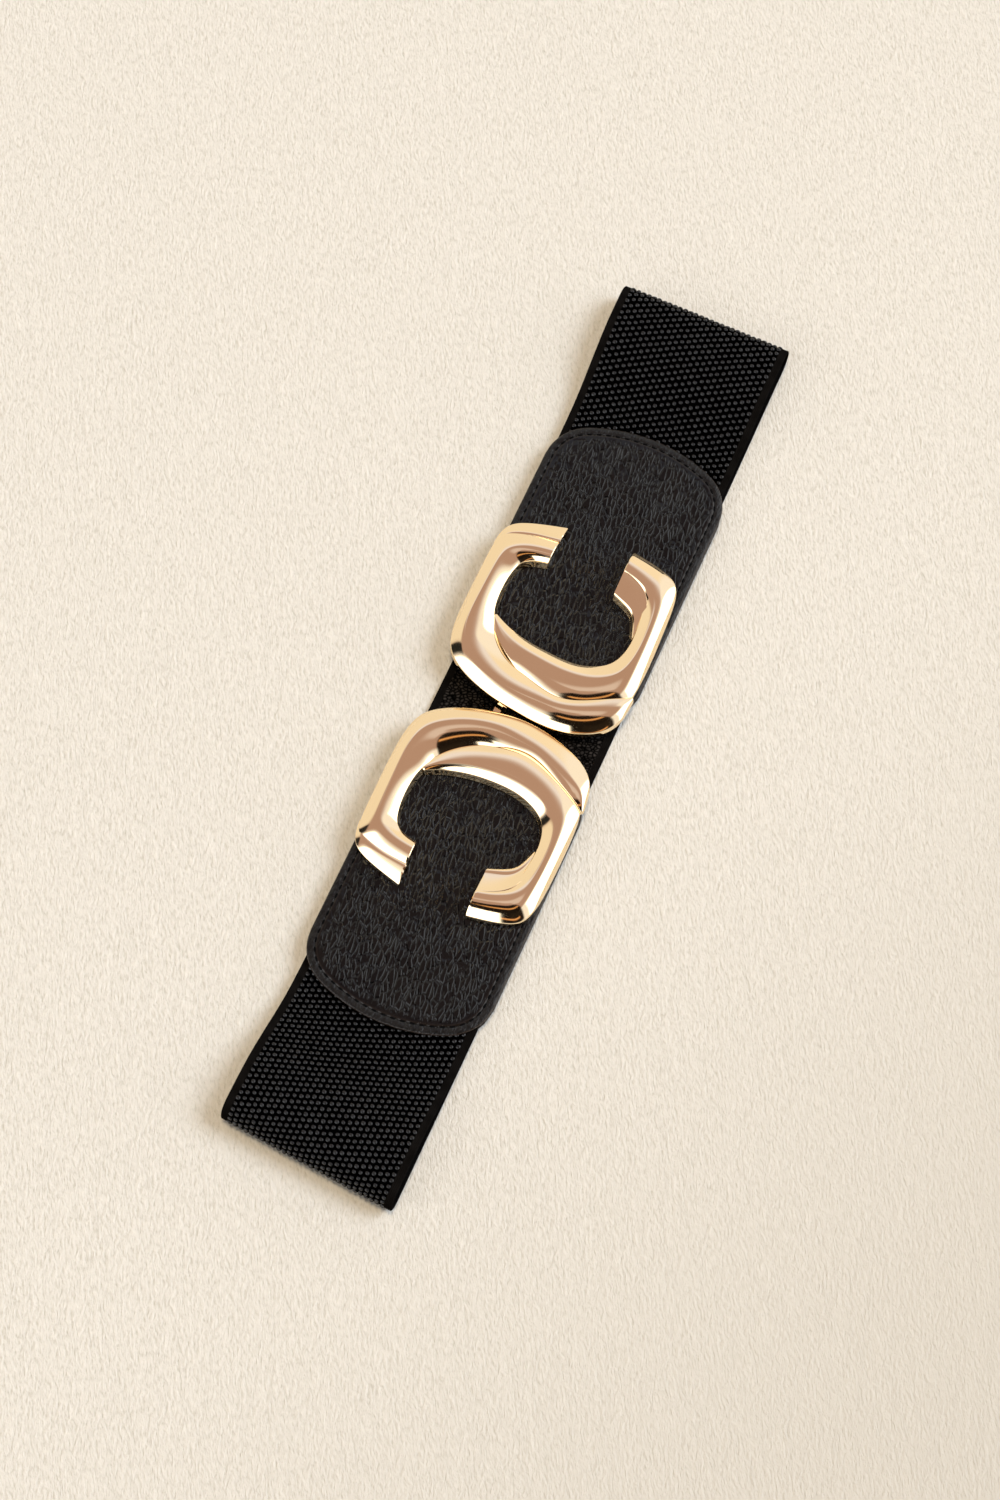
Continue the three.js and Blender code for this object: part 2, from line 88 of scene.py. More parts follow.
# Leather panels
GAP = 0.3
LEATHER = 1.2
PANEL_CENTRE = 0.9
PANEL_HALF_WIDTH = 31.9
PANEL_REACH = 111.6
PANEL_END_RADIUS = 56
PANEL_CORNER_RADIUS = 16.2
TONGUE_HALF_WIDTH = 18.5
TONGUE_LENGTH = 3
SHOULDER_LENGTH = 5  # over which the tongue widens into the panel
BORDER = 3.6  # the shaped strip round a panel's edge
BORDER_AT_TONGUE = 0.25  # its share that is left beside the bar, out of sight
BORDER_FULL_FROM = 25  # where along the belt it has its whole width
FRONT_GRID = (118, 170)  # columns and rows of faces in a panel's front layer
BACK_GRID = (40, 60)
COLUMN_CROWDING = 0.45  # 0 is evenly spread, higher is closer together towards the sides
BEND_STEPS = 16
STITCH_INSET = 2.75
STITCH_PITCH = 3.2
STITCH_LENGTH = 2.1
STITCH_RADIUS = 0.38
STITCH_SINK = 0.22
STITCH_DROP = 0.22  # how far a stitch's ends go down into the holes
STITCH_TIP = 0.02  # the share of its section that is left at its tips
STITCH_LEAN = 0.05
STITCH_SIDES = 8
STITCH_RINGS = 6
HOLE_DEPTH = 0.5
HOLE_HALF_LENGTH = 0.45
EDGE_DIP = 0.5  # how far the sewn edge is pressed down
EDGE_DIP_WIDTH = 5.5
PANEL_SWELL = 0.15  # how far the middle stands up
SWELL_START = 2.5  # where the swell starts, from the panel's edges
SWELL_FULL_BESIDE = 9  # where it is whole, from the side edges
SWELL_FULL_AT_END = 10  # where it is whole, from the end
SWELL_WAVES = {"first": 0.5, "along": 0.12, "across": 0.03}  # radians, and radians a millimetre

# Buckle halves
UPPER_CENTRE = -0.5
LOWER_CENTRE = 0.4
BAR_Y = 11
BAR_RADIUS = 0.9
BAR_HALF_LENGTH = 23.4
POST_WIDTH = 2.7
POST_DEPTH = 4
WALL_DRAFT = 0.9
OUTER_DRAFT = 0.15
SINK = 1
UPPER_CORNER = {"along": 2.3, "across": 0.6, "x_from": -4, "x_to": 20, "y_from": 4, "y_to": 50}
RIM = 0.40  # how far the rounding of a rim reaches
RIM_SHARE = 0.45  # the share of an edge that it takes at most
END_BEVEL = 0.22
STEPS_PER_ROW = 6
FACE_POINTS = 14
FACE_CROWDING = 1.6  # above 1, the points lie closer together near the crest
RIM_POINTS = 8
BAR_SIDES = 24
SHARP_ANGLE = 30

# Clasp between the halves
HOOK_HALF_WIDTH = 5.5
HOOK_THICKNESS = 1
HOOK_POST = (1.2, 2.9)
HOOK_REACH = 6.4
HOOK_STEP = 0.1  # how far inside its post it starts, so that no two faces lie in one plane
HOOK_LIP_HEIGHT = 1.8
LOOP_HALF_WIDTH = 9.2
LOOP_WIRE = 2.4
LOOP_BAR = (3.2, 5)
LOOP_HEIGHT = 1.8
LOOP_ROOT = (5.7, 7.9)

# Heights of the stack, from the surface up
BACK_LEATHER_Z = WEB_THICKNESS + GAP
FRONT_WEB_Z = BACK_LEATHER_Z + LEATHER + GAP
FRONT_LEATHER_Z = FRONT_WEB_Z + WEB_THICKNESS + GAP
BUCKLE_Z = FRONT_LEATHER_Z + LEATHER + GAP
BAR_Z = FRONT_WEB_Z + WEB_THICKNESS / 2
HOOK_Z = BACK_LEATHER_Z
LOOP_Z = HOOK_Z + HOOK_THICKNESS + GAP

# Each buckle half is four overlapping bands. The columns are a point on the band's outer edge, the point
# across from it on the inner edge, the height of the outer wall, the height of the crest and its place
# across, the height of the inner wall, and how quickly the face falls away from the crest on the outer and
# on the inner side: 1 is straight, higher is flat first and steep at the edge.
BAND_COLUMNS = ("ox", "oy", "ix", "iy", "outer_wall", "crest", "crest_at", "inner_wall",
                "outer_fall", "inner_fall")
MAIN_BAND = [
    (-12.0, 62.6, -12.2, 53.4, 2.7, 4.6, 0.55, 2.8, 1.6, 3.0),
    (-17.0, 62.1, -15.9, 52.8, 2.7, 4.6, 0.55, 2.8, 1.6, 2.8),
    (-22.5, 61.4, -18.8, 51.7, 2.6, 4.6, 0.55, 2.8, 1.6, 2.4),
    (-27.5, 60.0, -20.7, 50.0, 2.4, 4.7, 0.54, 2.8, 1.5, 1.8),
    (-30.9, 58.2, -21.6, 47.8, 2.3, 4.8, 0.52, 2.8, 1.4, 1.4),
    (-32.2, 54.5, -22.3, 44.8, 2.2, 4.8, 0.46, 2.8, 1.4, 1.3),
    (-32.4, 45.0, -22.7, 40.5, 2.2, 4.8, 0.44, 2.8, 1.4, 1.3),
    (-32.4, 35.0, -22.6, 35.5, 2.2, 4.8, 0.41, 2.8, 1.4, 1.4),
    (-32.4, 26.0, -21.9, 31.0, 2.2, 4.9, 0.36, 2.9, 1.4, 1.7),
    (-31.9, 19.5, -20.2, 27.2, 2.2, 5.0, 0.32, 2.7, 1.5, 2.0),
    (-30.2, 13.0, -18.0, 24.0, 2.2, 5.0, 0.34, 1.8, 1.6, 2.2),
    (-26.0, 8.8, -15.0, 20.8, 2.3, 5.0, 0.36, 1.7, 1.7, 2.2),
    (-19.5, 5.2, -10.9, 17.6, 2.3, 5.0, 0.38, 1.9, 1.8, 2.2),
    (-11.5, 2.5, -6.0, 14.8, 2.3, 5.0, 0.41, 2.5, 1.9, 2.2),
    (-3.0, 1.0, -0.8, 12.6, 2.3, 4.9, 0.50, 3.6, 2.0, 2.2),
    (4.5, 0.7, 3.9, 11.5, 2.1, 4.8, 0.68, 4.1, 2.0, 2.0),
    (11.5, 1.6, 8.4, 11.3, 1.8, 4.8, 0.72, 4.1, 2.0, 2.0),
    (18.5, 3.6, 13.2, 12.6, 1.7, 4.7, 0.76, 4.1, 2.0, 2.0),
    (24.5, 6.0, 18.2, 15.0, 1.7, 4.6, 0.75, 4.1, 2.0, 2.0),
    (29.0, 9.6, 23.2, 17.5, 1.7, 4.4, 0.70, 4.0, 2.0, 2.0),
    (31.3, 13.8, 27.2, 19.6, 2.0, 4.0, 0.60, 3.8, 2.0, 2.0),
    (32.1, 18.5, 30.4, 21.3, 1.9, 3.2, 0.55, 3.0, 2.0, 2.0),
    (32.3, 22.0, 31.7, 22.6, 1.8, 2.2, 0.60, 2.1, 2.0, 2.0),
]
SECOND_BAND = [
    (-22.3, 28.6, -20.5, 30.0, 1.8, 2.5, 0.55, 2.3, 1.5, 1.3),
    (-18.3, 23.2, -16.6, 27.9, 2.9, 3.2, 0.50, 2.4, 1.5, 1.6),
    (-11.0, 17.0, -10.8, 26.0, 3.5, 4.0, 0.55, 2.3, 2.0, 2.1),
    (-3.0, 12.0, -4.2, 24.8, 2.5, 4.3, 0.65, 2.3, 2.6, 2.2),
    (5.0, 8.5, 3.3, 24.4, 1.3, 4.4, 0.70, 2.3, 3.2, 2.2),
    (13.0, 9.5, 9.8, 24.8, 1.0, 4.4, 0.71, 2.3, 3.0, 2.2),
    (21.0, 12.5, 14.8, 26.3, 1.0, 4.4, 0.68, 2.4, 2.8, 2.0),
    (28.0, 16.5, 19.0, 28.4, 1.2, 4.5, 0.67, 2.5, 2.6, 1.7),
    (31.6, 21.0, 22.0, 31.2, 1.5, 4.7, 0.66, 2.6, 2.4, 1.3),
    (32.3, 28.0, 23.6, 35.5, 1.7, 4.8, 0.61, 2.7, 2.4, 1.3),
    (32.5, 37.0, 24.1, 39.5, 1.6, 4.8, 0.57, 2.8, 2.4, 1.3),
    (32.3, 47.0, 23.8, 44.5, 1.6, 4.8, 0.56, 2.8, 2.4, 1.3),
    (31.9, 55.0, 23.2, 50.0, 1.6, 4.8, 0.57, 3.0, 2.3, 1.4),
    (31.2, 60.5, 22.3, 53.4, 1.6, 4.8, 0.60, 3.1, 2.2, 2.0),
    (29.3, 64.6, 20.7, 55.8, 1.7, 4.7, 0.66, 3.2, 2.2, 3.0),
    (25.5, 66.6, 18.6, 57.3, 1.7, 4.7, 0.68, 3.2, 2.2, 3.5),
    (19.0, 68.3, 15.8, 58.5, 1.7, 4.6, 0.66, 3.2, 2.2, 3.5),
    (12.1, 69.4, 11.9, 59.5, 1.7, 4.6, 0.65, 3.2, 2.2, 3.5),
]
OUTER_STRIP = [
    (-11.6, 68.6, -11.8, 61.9, 1.8, 3.8, 0.90, 3.7, 1.3, 2.0),
    (-17.5, 67.1, -16.5, 61.4, 1.8, 3.6, 0.90, 3.5, 1.3, 2.0),
    (-24.0, 65.2, -21.4, 60.6, 1.8, 3.3, 0.85, 3.2, 1.3, 2.0),
    (-29.6, 62.7, -27.0, 58.7, 1.8, 3.0, 0.80, 2.9, 1.3, 2.0),
    (-31.9, 58.4, -29.8, 56.6, 1.7, 2.6, 0.70, 2.5, 1.3, 2.0),
    (-32.3, 53.5, -30.7, 53.5, 1.6, 1.9, 0.60, 1.8, 1.3, 2.0),
]
INNER_FLAP = [
    (25.0, 40.0, 23.5, 40.3, 1.6, 1.6, 0.60, 1.4, 1.2, 2.0),
    (25.2, 45.5, 21.9, 45.2, 2.9, 2.3, 0.60, 1.7, 1.2, 3.0),
    (24.5, 50.5, 20.3, 48.1, 3.7, 2.5, 0.62, 1.9, 1.2, 4.0),
    (22.8, 55.5, 18.0, 49.6, 4.2, 2.7, 0.68, 2.0, 1.2, 5.0),
    (18.0, 59.2, 15.0, 50.9, 4.4, 2.7, 0.78, 2.0, 1.2, 5.0),
    (12.0, 61.2, 11.9, 52.1, 4.4, 2.7, 0.82, 2.0, 1.2, 5.0),
]

# Camera: it looks down at the belt from beside it, tilted from the vertical and turned from the belt's
# length.
CAMERA_AIM = (-1.9, -10.2)
CAMERA_DISTANCE = 950.8
CAMERA_TILT = math.radians(21)
PICTURE_UP = 24.1  # degrees from the belt's length to the picture's upright
CAMERA_TURN = math.radians(PICTURE_UP)
CAMERA_LENS = 69.6
CAMERA_SENSOR = 36

# The studio round the belt, as soft patches on a dim ceiling, each one over those before it. The columns are
# the direction of a patch's middle, in degrees from +X towards +Y, half its width, its lower and upper edge
# above the horizon, how wide its soft edges are, and its colour.
CEILING_COLOUR = (0.465, 0.32, 0.285)
PATCH_COLUMNS = ("direction", "half_width", "low", "high", "softness", "colour")
PATCHES = [
    (325, 50, -20, 26, 10, (0.80, 0.76, 0.70)),    # cream surroundings, near right
    (95, 55, 20, 58, 15, (0.88, 0.88, 1.04)),      # pale wall, far
    (92, 36, -20, 44, 12, (0.98, 0.90, 0.78)),     # cream surroundings, far
    (145, 38, -20, 42, 12, (0.92, 0.84, 0.72)),    # cream surroundings, left
    (70, 70, 79, 89, 6, (0.70, 0.60, 0.62)),       # paler ceiling, straight above
    (298, 46, 24, 85, 5, (0.012, 0.008, 0.006)),   # dark gap, near right, up to where the camera is
    (326, 26, 24, 56, 8, (0.02, 0.014, 0.01)),     # the gap's wider foot
    (300, 30, 36, 40, 3, (0.85, 0.42, 0.18)),      # warm streak across it
    (304, 36, 70, 74, 3, (0.80, 0.40, 0.16)),      # warm streak higher up
    (33, 50, -20, 58, 7, (1.00, 1.00, 1.05)),      # pale surround of the right softbox
    (27, 30, -20, 52, 5, (2.70, 2.75, 2.80)),      # white softbox, right
    (193, 9, -20, 45, 4, (0.02, 0.02, 0.02)),      # black gap, left
    (230, 27, 10, 71, 12, (1.00, 1.00, 1.05)),     # pale surround of the near softbox
    (235, 29, 14, 62, 6, (2.70, 2.75, 2.80)),      # white softbox, near left
    (262, 22, 14, 54, 4, (2.70, 2.75, 2.80)),      # its lower part, which reaches further round
]
STUDIO_SHARE = 0.32  # of the studio's light, on matt surfaces

# Floor: half its side, its colour, and the shares of that colour as painted shade in its relief's hollows,
# as painted light on its crests and as painted shade where the light falls off in its far corner
FLOOR_HALF = 3000
FLOOR_COLOUR = (0.780, 0.713, 0.612)
FLOOR_HOLLOW_PAINTED_SHADE = (0.84, 0.83, 0.79)
FLOOR_CREST_PAINTED_LIGHT = (1.08, 1.08, 1.08)
FLOOR_FAR_PAINTED_SHADE = (0.86, 0.845, 0.82)

# Two lamps give the soft shadow, in place of most of the studio's light on matt surfaces. They don't show in
# the gold, where the studio does. The columns are the lamp's direction and its height above the horizon, how
# wide it looks from the belt, all in degrees, its strength and its colour.
LAMP_COLUMNS = ("direction", "height", "width", "strength", "colour")
LAMPS = [
    (31.5, 46, 30, 2.33, (0.65, 0.79, 1.00)),      # right
    (31.5, 90, 12, 1.55, (1.00, 0.85, 0.62)),      # overhead
]


# Making pieces

def make_mesh(name, points, faces, material):
    """A smooth mesh object from points in millimetres."""
    mesh = bpy.data.meshes.new(name)
    mesh.from_pydata([(x * MM, y * MM, z * MM) for x, y, z in points], [], faces)
    mesh.materials.append(material)
    mesh.polygons.foreach_set("use_smooth", [True] * len(mesh.polygons))
    mesh.update()
    piece = bpy.data.objects.new(name, mesh)
    bpy.context.collection.objects.link(piece)
    return piece


def note(piece, name, values):
    """Keeps a value for each point of a mesh, for its material."""
    piece.data.attributes.new(name, "FLOAT", "POINT").data.foreach_set("value", values)


def dress(piece, slot, *nodes):
    """Ties a piece to the belt and hides the solids it stands for. The slot is not used."""
    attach(piece, "root")
    if nodes:
        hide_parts(*nodes)
    return piece


def loft(rings):
    """Points and faces of a closed skin through rings of equal length, with flat end caps."""
    count = len(rings[0])
    points = [point for ring in rings for point in ring]
    faces = []
    for ring in range(len(rings) - 1):
        for side in range(count):
            here = ring * count + side
            after = ring * count + (side + 1) % count
            faces.append((here, after, after + count, here + count))
    last = (len(rings) - 1) * count
    faces.append(tuple(range(count - 1, -1, -1)))
    faces.append(tuple(range(last, last + count)))
    return points, faces


def joined(parts):
    """One list of points and one of faces from several."""
    points, faces = [], []
    for part_points, part_faces in parts:
        start = len(points)
        points.extend(part_points)
        faces.extend(tuple(i + start for i in face) for face in part_faces)
    return points, faces


def mix(low, high, share):
    return low + (high - low) * share


def ease(value, start, end):
    share = min(max((value - start) / (end - start), 0), 1)
    return share * share * (3 - 2 * share)


def sine(degrees):
    return math.sin(math.radians(degrees))


def cosine(degrees):
    return math.cos(math.radians(degrees))


# Materials. A pattern's first number is its scale, in waves or cells a metre. A relief's numbers are its
# depth in metres and its strength.

class Tree:
    """The nodes of a material or of the world, which end in one shader."""

    def __init__(self, owner, shader):
        owner.use_nodes = True
        self.nodes = owner.node_tree.nodes
        self.links = owner.node_tree.links
        self.shader = self.nodes[shader]

    def feed(self, node, name, value):
        """Gives a node's input a value, a colour or a socket to be linked with."""
        socket = node.inputs[name]
        if isinstance(value, bpy.types.NodeSocket):
            self.links.new(value, socket)
        elif socket.type == "RGBA":
            socket.default_value = (*value, 1)
        else:
            socket.default_value = value

    def set(self, name, value):
        """Gives the shader's own input a value, a colour or a socket."""
        self.feed(self.shader, name, value)

    def add(self, kind, inputs=None, **settings):
        """A new node with its settings and inputs."""
        node = self.nodes.new("ShaderNode" + kind)
        for name, value in settings.items():
            setattr(node, name, value)
        for name, value in (inputs or {}).items():
            self.feed(node, name, value)
        return node

    def mapped(self, turn=0.0, stretch=(1, 1, 1)):
        """Object coordinates for a pattern, turned about the vertical by some degrees and stretched."""
        place = self.add("TexCoord").outputs["Object"]
        inputs = {"Rotation": (0, 0, math.radians(turn)), "Scale": stretch, "Vector": place}
        return self.add("Mapping", inputs, vector_type="TEXTURE").outputs["Vector"]

    def pushed(self, vector, scale, reach):
        """Coordinates pushed about by a noise, so that a pattern on them wanders."""
        push = self.add("TexNoise", {"Scale": scale, "Vector": vector}).outputs["Color"]
        inputs = {0: push, 1: (reach, reach, reach), 2: vector}
        return self.add("VectorMath", inputs, operation="MULTIPLY_ADD").outputs[0]

    def noise(self, vector, scale, detail=2.0, rough=0.5):
        inputs = {"Scale": scale, "Detail": detail, "Roughness": rough, "Vector": vector}
        return self.add("TexNoise", inputs).outputs["Fac"]

    def cell_edges(self, vector, scale):
        """How far a place lies from the edge of its cell, as a share of a cell."""
        inputs = {"Scale": scale, "Vector": vector}
        return self.add("TexVoronoi", inputs, feature="DISTANCE_TO_EDGE").outputs["Distance"]

    def noted(self, name):
        """A value that the mesh keeps for each of its points."""
        return self.add("Attribute", attribute_name=name).outputs["Fac"]

    def towards(self, vector, direction):
        """How far a place lies in a direction, which is in degrees from +X towards +Y."""
        inputs = {0: vector, 1: (cosine(direction), sine(direction), 0)}
        return self.add("VectorMath", inputs, operation="DOT_PRODUCT").outputs["Value"]

    def between(self, value, start, end):
        """0 where the value is at the start, 1 where it is at the end, and smooth from one to the other."""
        inputs = {"From Min": start, "From Max": end, "Value": value}
        return self.add("MapRange", inputs, interpolation_type="SMOOTHSTEP").outputs["Result"]

    def scaled(self, value, low, high):
        """The low number where the value is 0, the high one where it is 1."""
        return self.add("MapRange", {"To Min": low, "To Max": high, "Value": value}).outputs["Result"]

    def times(self, first, second):
        return self.add("Math", {0: first, 1: second}, operation="MULTIPLY").outputs[0]

    def blended(self, share, first, second):
        """One colour over another, by a share."""
        inputs = {"Factor": share, "A": first, "B": second}
        return self.add("Mix", inputs, data_type="RGBA").outputs["Result"]

    def ramp(self, value, *stops):
        """A colour ramp from (place, colour) stops."""
        node = self.add("ValToRGB", {"Fac": value})
        elements = node.color_ramp.elements
        while len(elements) < len(stops):
            elements.new(0.5)
        for element, (place, colour) in zip(elements, stops):
            element.position = place
            element.color = (*colour, 1)
        return node.outputs["Color"]

    def bump(self, height, distance, strength, before=None):
        """The surface's normal with a relief, over one that was made before."""
        inputs = {"Distance": distance, "Strength": strength, "Height": height}
        if before is not None:
            inputs["Normal"] = before
        return self.add("Bump", inputs).outputs["Normal"]


def new_material(name):
    material = bpy.data.materials.new(name)
    return material, Tree(material, "Principled BSDF")


def toned(colour, shares):
    return tuple(min(value * share, 1) for value, share in zip(colour, shares))


def gold_material():
    material, tree = new_material("gold")
    place = tree.mapped()
    tone = tree.noise(place, 60)
    tree.set("Base Color", tree.ramp(tone, (0.3, (0.98, 0.78, 0.50)), (0.7, (1.0, 0.80, 0.52))))
    tree.set("Metallic", 1)
    tree.set("Roughness", tree.scaled(tree.noise(place, 400, 3), 0.05, 0.10))
    tree.set("Normal", tree.bump(tree.noise(place, 90, 1), 0.0001, 0.12))
    return material


def leather_material():
    """Black leather, creased inside the seam and with pull marks on the sewn border outside it."""
    material, tree = new_material("leather")
    inset = tree.noted("inset")
    place = tree.mapped()
    black = tree.ramp(tree.noise(place, 110, 3),
                      (0.35, (0.0007, 0.0007, 0.0009)), (0.65, (0.0026, 0.0021, 0.0018)))
    border = tree.ramp(tree.noise(place, 500, 3),
                       (0.35, (0.0030, 0.0028, 0.0026)), (0.65, (0.0085, 0.0078, 0.0072)))
    beside_seam = tree.between(inset, STITCH_INSET + 1.0, STITCH_INSET + 0.5)
    colour = tree.blended(beside_seam, black, (0.008, 0.0055, 0.0042))
    on_border = tree.between(inset, STITCH_INSET + 0.1, STITCH_INSET - 0.1)
    colour = tree.blended(on_border, colour, border)
    at_rim = tree.between(inset, 0.5, 0.2)
    tree.set("Base Color", tree.blended(at_rim, colour, (0.016, 0.010, 0.007)))
    tree.set("Roughness", tree.scaled(tree.noise(place, 400, 3), 0.11, 0.17))
    tree.set("Specular IOR Level", 0.27)

    upright = tree.pushed(tree.mapped(PICTURE_UP - 14, (1, 2.8, 1)), 300, 0.0020)
    cells = tree.between(tree.cell_edges(upright, 680), 0.0, 0.19)
    patchy = tree.between(tree.noise(place, 150), 0.25, 0.42)
    middle = tree.between(inset, STITCH_INSET + 0.5, STITCH_INSET + 3)
    creased = tree.bump(tree.times(cells, tree.times(patchy, middle)), 0.00025, 1.0)
    pulls = tree.noise(tree.mapped(PICTURE_UP - 30, (1, 3.0, 1)), 1000, 3)
    pulled = tree.bump(tree.times(pulls, on_border), 0.0007, 1.0, creased)
    fine = tree.bump(tree.noise(upright, 1300), 0.00007, 0.8, pulled)
    tree.set("Normal", tree.bump(tree.noise(place, 70), 0.0006, 0.5, fine))
    return material


def thread_material():
    material, tree = new_material("thread")
    place = tree.mapped()
    tree.set("Base Color", tree.ramp(tree.noise(place, 900),
                                     (0.3, (0.0005, 0.0005, 0.0006)), (0.7, (0.0016, 0.0016, 0.0018))))
    tree.set("Roughness", 0.6)
    tree.set("Specular IOR Level", 0.05)
    tree.set("Normal", tree.bump(tree.noise(place, 2500, 1), 0.0001, 0.5))
    return material


def webbing_material():
    """The band under the pebbles, its matt selvedges, and its inner face with a fine weave whose cell middles
    are painted lighter as highlights.
    """
    material, tree = new_material("webbing")
    place = tree.mapped()
    matt = tree.ramp(tree.noise(place, 300), (0.3, (0.0042, 0.0035, 0.0030)), (0.7, (0.0072, 0.0060, 0.0052)))
    cells = tree.cell_edges(tree.mapped(PICTURE_UP, (1.3, 1, 1)), 950)
    # painted highlights: the weave's cell middles are lighter, in place of glints
    weave_and_painted_glints = tree.ramp(cells, (0.05, (0.0008, 0.0007, 0.0006)), (0.45, (0.045, 0.038, 0.033)))
    colour = tree.blended(tree.noted("inner"), (0.0004, 0.0003, 0.0003), weave_and_painted_glints)
    tree.set("Base Color", tree.blended(tree.noted("selvedge"), colour, matt))
    tree.set("Roughness", 0.7)
    tree.set("Specular IOR Level", 0.0)
    along = tree.mapped(0, (1, 3, 1))
    tree.set("Normal", tree.bump(tree.noise(along, 1800), 0.00012, 0.8))
    return material


def yarn_material():
    """The pebbles: floats of several fine strands that lie across the belt."""
    material, tree = new_material("yarn")
    place = tree.mapped()
    tree.set("Base Color", tree.ramp(tree.noise(place, 500),
                                     (0.3, (0.0003, 0.0003, 0.0004)), (0.7, (0.0014, 0.0012, 0.0013))))
    tree.set("Roughness", tree.scaled(tree.noise(place, 700), 0.12, 0.20))
    tree.set("Specular IOR Level", 0.42)
    strands = tree.mapped(8, (3, 0.7, 1))
    tree.set("Normal", tree.bump(tree.noise(strands, 1700), 0.00010, 0.8))
    return material


def floor_material():
    """A pale sheet with a fine relief of short streaks, with painted shade in the hollows and painted light
    on the crests, and painted shade towards the picture's lower right.
    """
    material, tree = new_material("floor")
    streaks = tree.pushed(tree.mapped(PICTURE_UP + 6, (1, 2.6, 1)), 300, 0.0015)
    relief = tree.noise(streaks, 1150, 4, 0.62)
    # painted shade in the relief's hollows and painted light on its crests
    painted_relief_shading = tree.ramp(relief, (0.30, toned(FLOOR_COLOUR, FLOOR_HOLLOW_PAINTED_SHADE)), (0.48, FLOOR_COLOUR),
                         (0.70, toned(FLOOR_COLOUR, FLOOR_CREST_PAINTED_LIGHT)))
    # painted shade: darker towards the far corner, where the light falls off
    far = tree.between(tree.towards(tree.mapped(), PICTURE_UP - 45), 0.02, 0.30)
    tree.set("Base Color", tree.blended(far, painted_relief_shading, toned(FLOOR_COLOUR, FLOOR_FAR_PAINTED_SHADE)))
    tree.set("Roughness", 0.85)
    tree.set("Specular IOR Level", 0.2)
    tree.set("Normal", tree.bump(relief, 0.0008, 1.0))
    return material


# Elastic band

def half_path(end):
    """One end's half of the webbing's middle line, from the cut end round the fold to the belt's middle."""
    front_z = FRONT_WEB_Z + WEB_THICKNESS / 2
    back_z = WEB_THICKNESS / 2
    fold_middle = end["reach"] - WEB_THICKNESS / 2 - FOLD_RADIUS
    rise = back_z + 2 * FOLD_RADIUS - front_z
    half = []
    steps = round((fold_middle - WEB_END) / WEB_STEP)
    for i in range(steps):
        y = mix(WEB_END, fold_middle, i / steps)
        half.append((y, front_z + rise * ease(y, RISE_START, RISE_END), 0.0, 0.0))
    turns = round(math.pi * (FOLD_RADIUS + WEB_THICKNESS / 2) / FOLD_STEP)
    for i in range(turns):
        turn = math.pi * i / turns
        half.append((fold_middle + FOLD_RADIUS * math.sin(turn), back_z + FOLD_RADIUS * (1 + math.cos(turn)),
                     turn, i / turns))
    steps = round(fold_middle / WEB_STEP)
    for i in range(steps):
        half.append((mix(fold_middle, 0, i / steps), back_z, math.pi, 1.0))
    return half


def web_path():
    """The webbing's middle line, from the lower cut end to the upper one, in small steps."""
    lower = [(-y, z, 2 * math.pi - turn, layer) for y, z, turn, layer in half_path(LOWER_END)]
    return lower + [(0.0, WEB_THICKNESS / 2, math.pi, 1.0)] + half_path(UPPER_END)[::-1]


def web_point(station, across, through):
    """A point of the webbing: across it, as a share of its half width, and out from its middle line."""
    y, z, turn, layer = station
    end = UPPER_END if y > 0 else LOWER_END
    spread = ease(abs(y), SPREAD_START, end["reach"])
    centre = mix(mix(end["front"], BACK_CENTRE, layer), end["fold"], spread)
    half_width = mix(WEB_HALF_WIDTH, end["half_width"], spread)
    offset = across * half_width
    skew = end["skew"] * spread
    return (centre + offset,
            y + through * math.sin(turn) - skew * (offset - end["half_width"]),
            z + through * math.cos(turn))


def web_section():
    """The band's section as (share of the half width, height from the middle), anticlockwise.

    The outer face is lower under the pebbles. The selvedges are thinner, with fine ribs and a round edge."""
    inside = (WEB_HALF_WIDTH - SELVEDGE_WIDTH - SELVEDGE_STEP) / WEB_HALF_WIDTH
    edge = (WEB_HALF_WIDTH - SELVEDGE_WIDTH) / WEB_HALF_WIDTH
    under = WEB_THICKNESS / 2 - PEBBLE_HEIGHT + PEBBLE_SINK
    selvedge = SELVEDGE_THICKNESS / 2
    middle = WEB_THICKNESS / 2 - SELVEDGE_DROP - selvedge
    ribbed = []
    points = SELVEDGE_RIBS * POINTS_PER_RIB
    for i in range(points + 1):
        place = i / points
        rib = SELVEDGE_RIB_HEIGHT * math.sin(2 * math.pi * SELVEDGE_RIBS * place)
        edge_round = math.sqrt(1 - max(0, (place - (1 - SELVEDGE_ROUND)) / SELVEDGE_ROUND) ** 2)
        ribbed.append((mix(edge, 1, place), selvedge * max(edge_round, SELVEDGE_EDGE) + rib * edge_round))
    outer_right = [(inside, under)] + [(across, middle + through) for across, through in ribbed]
    outer_left = [(-across, through) for across, through in outer_right[::-1]]
    inner_right = [(inside, -WEB_THICKNESS / 2)] + [(across, middle - through) for across, through in ribbed]
    inner_left = [(-across, through) for across, through in inner_right[::-1]]
    return inner_left + inner_right + outer_right[::-1] + outer_left[::-1]


def make_elastic_band(path, material):
    section = web_section()
    rings = [[web_point(station, across, through) for across, through in section] for station in path]
    band = make_mesh("elastic_webbing", *loft(rings), material)
    body = (WEB_HALF_WIDTH - SELVEDGE_WIDTH) / WEB_HALF_WIDTH
    note(band, "selvedge", [float(abs(across) > body - 0.001) for across, through in section] * len(rings))
    note(band, "inner", [float(point < len(section) / 2) for point in range(len(section))] * len(rings))
    return band


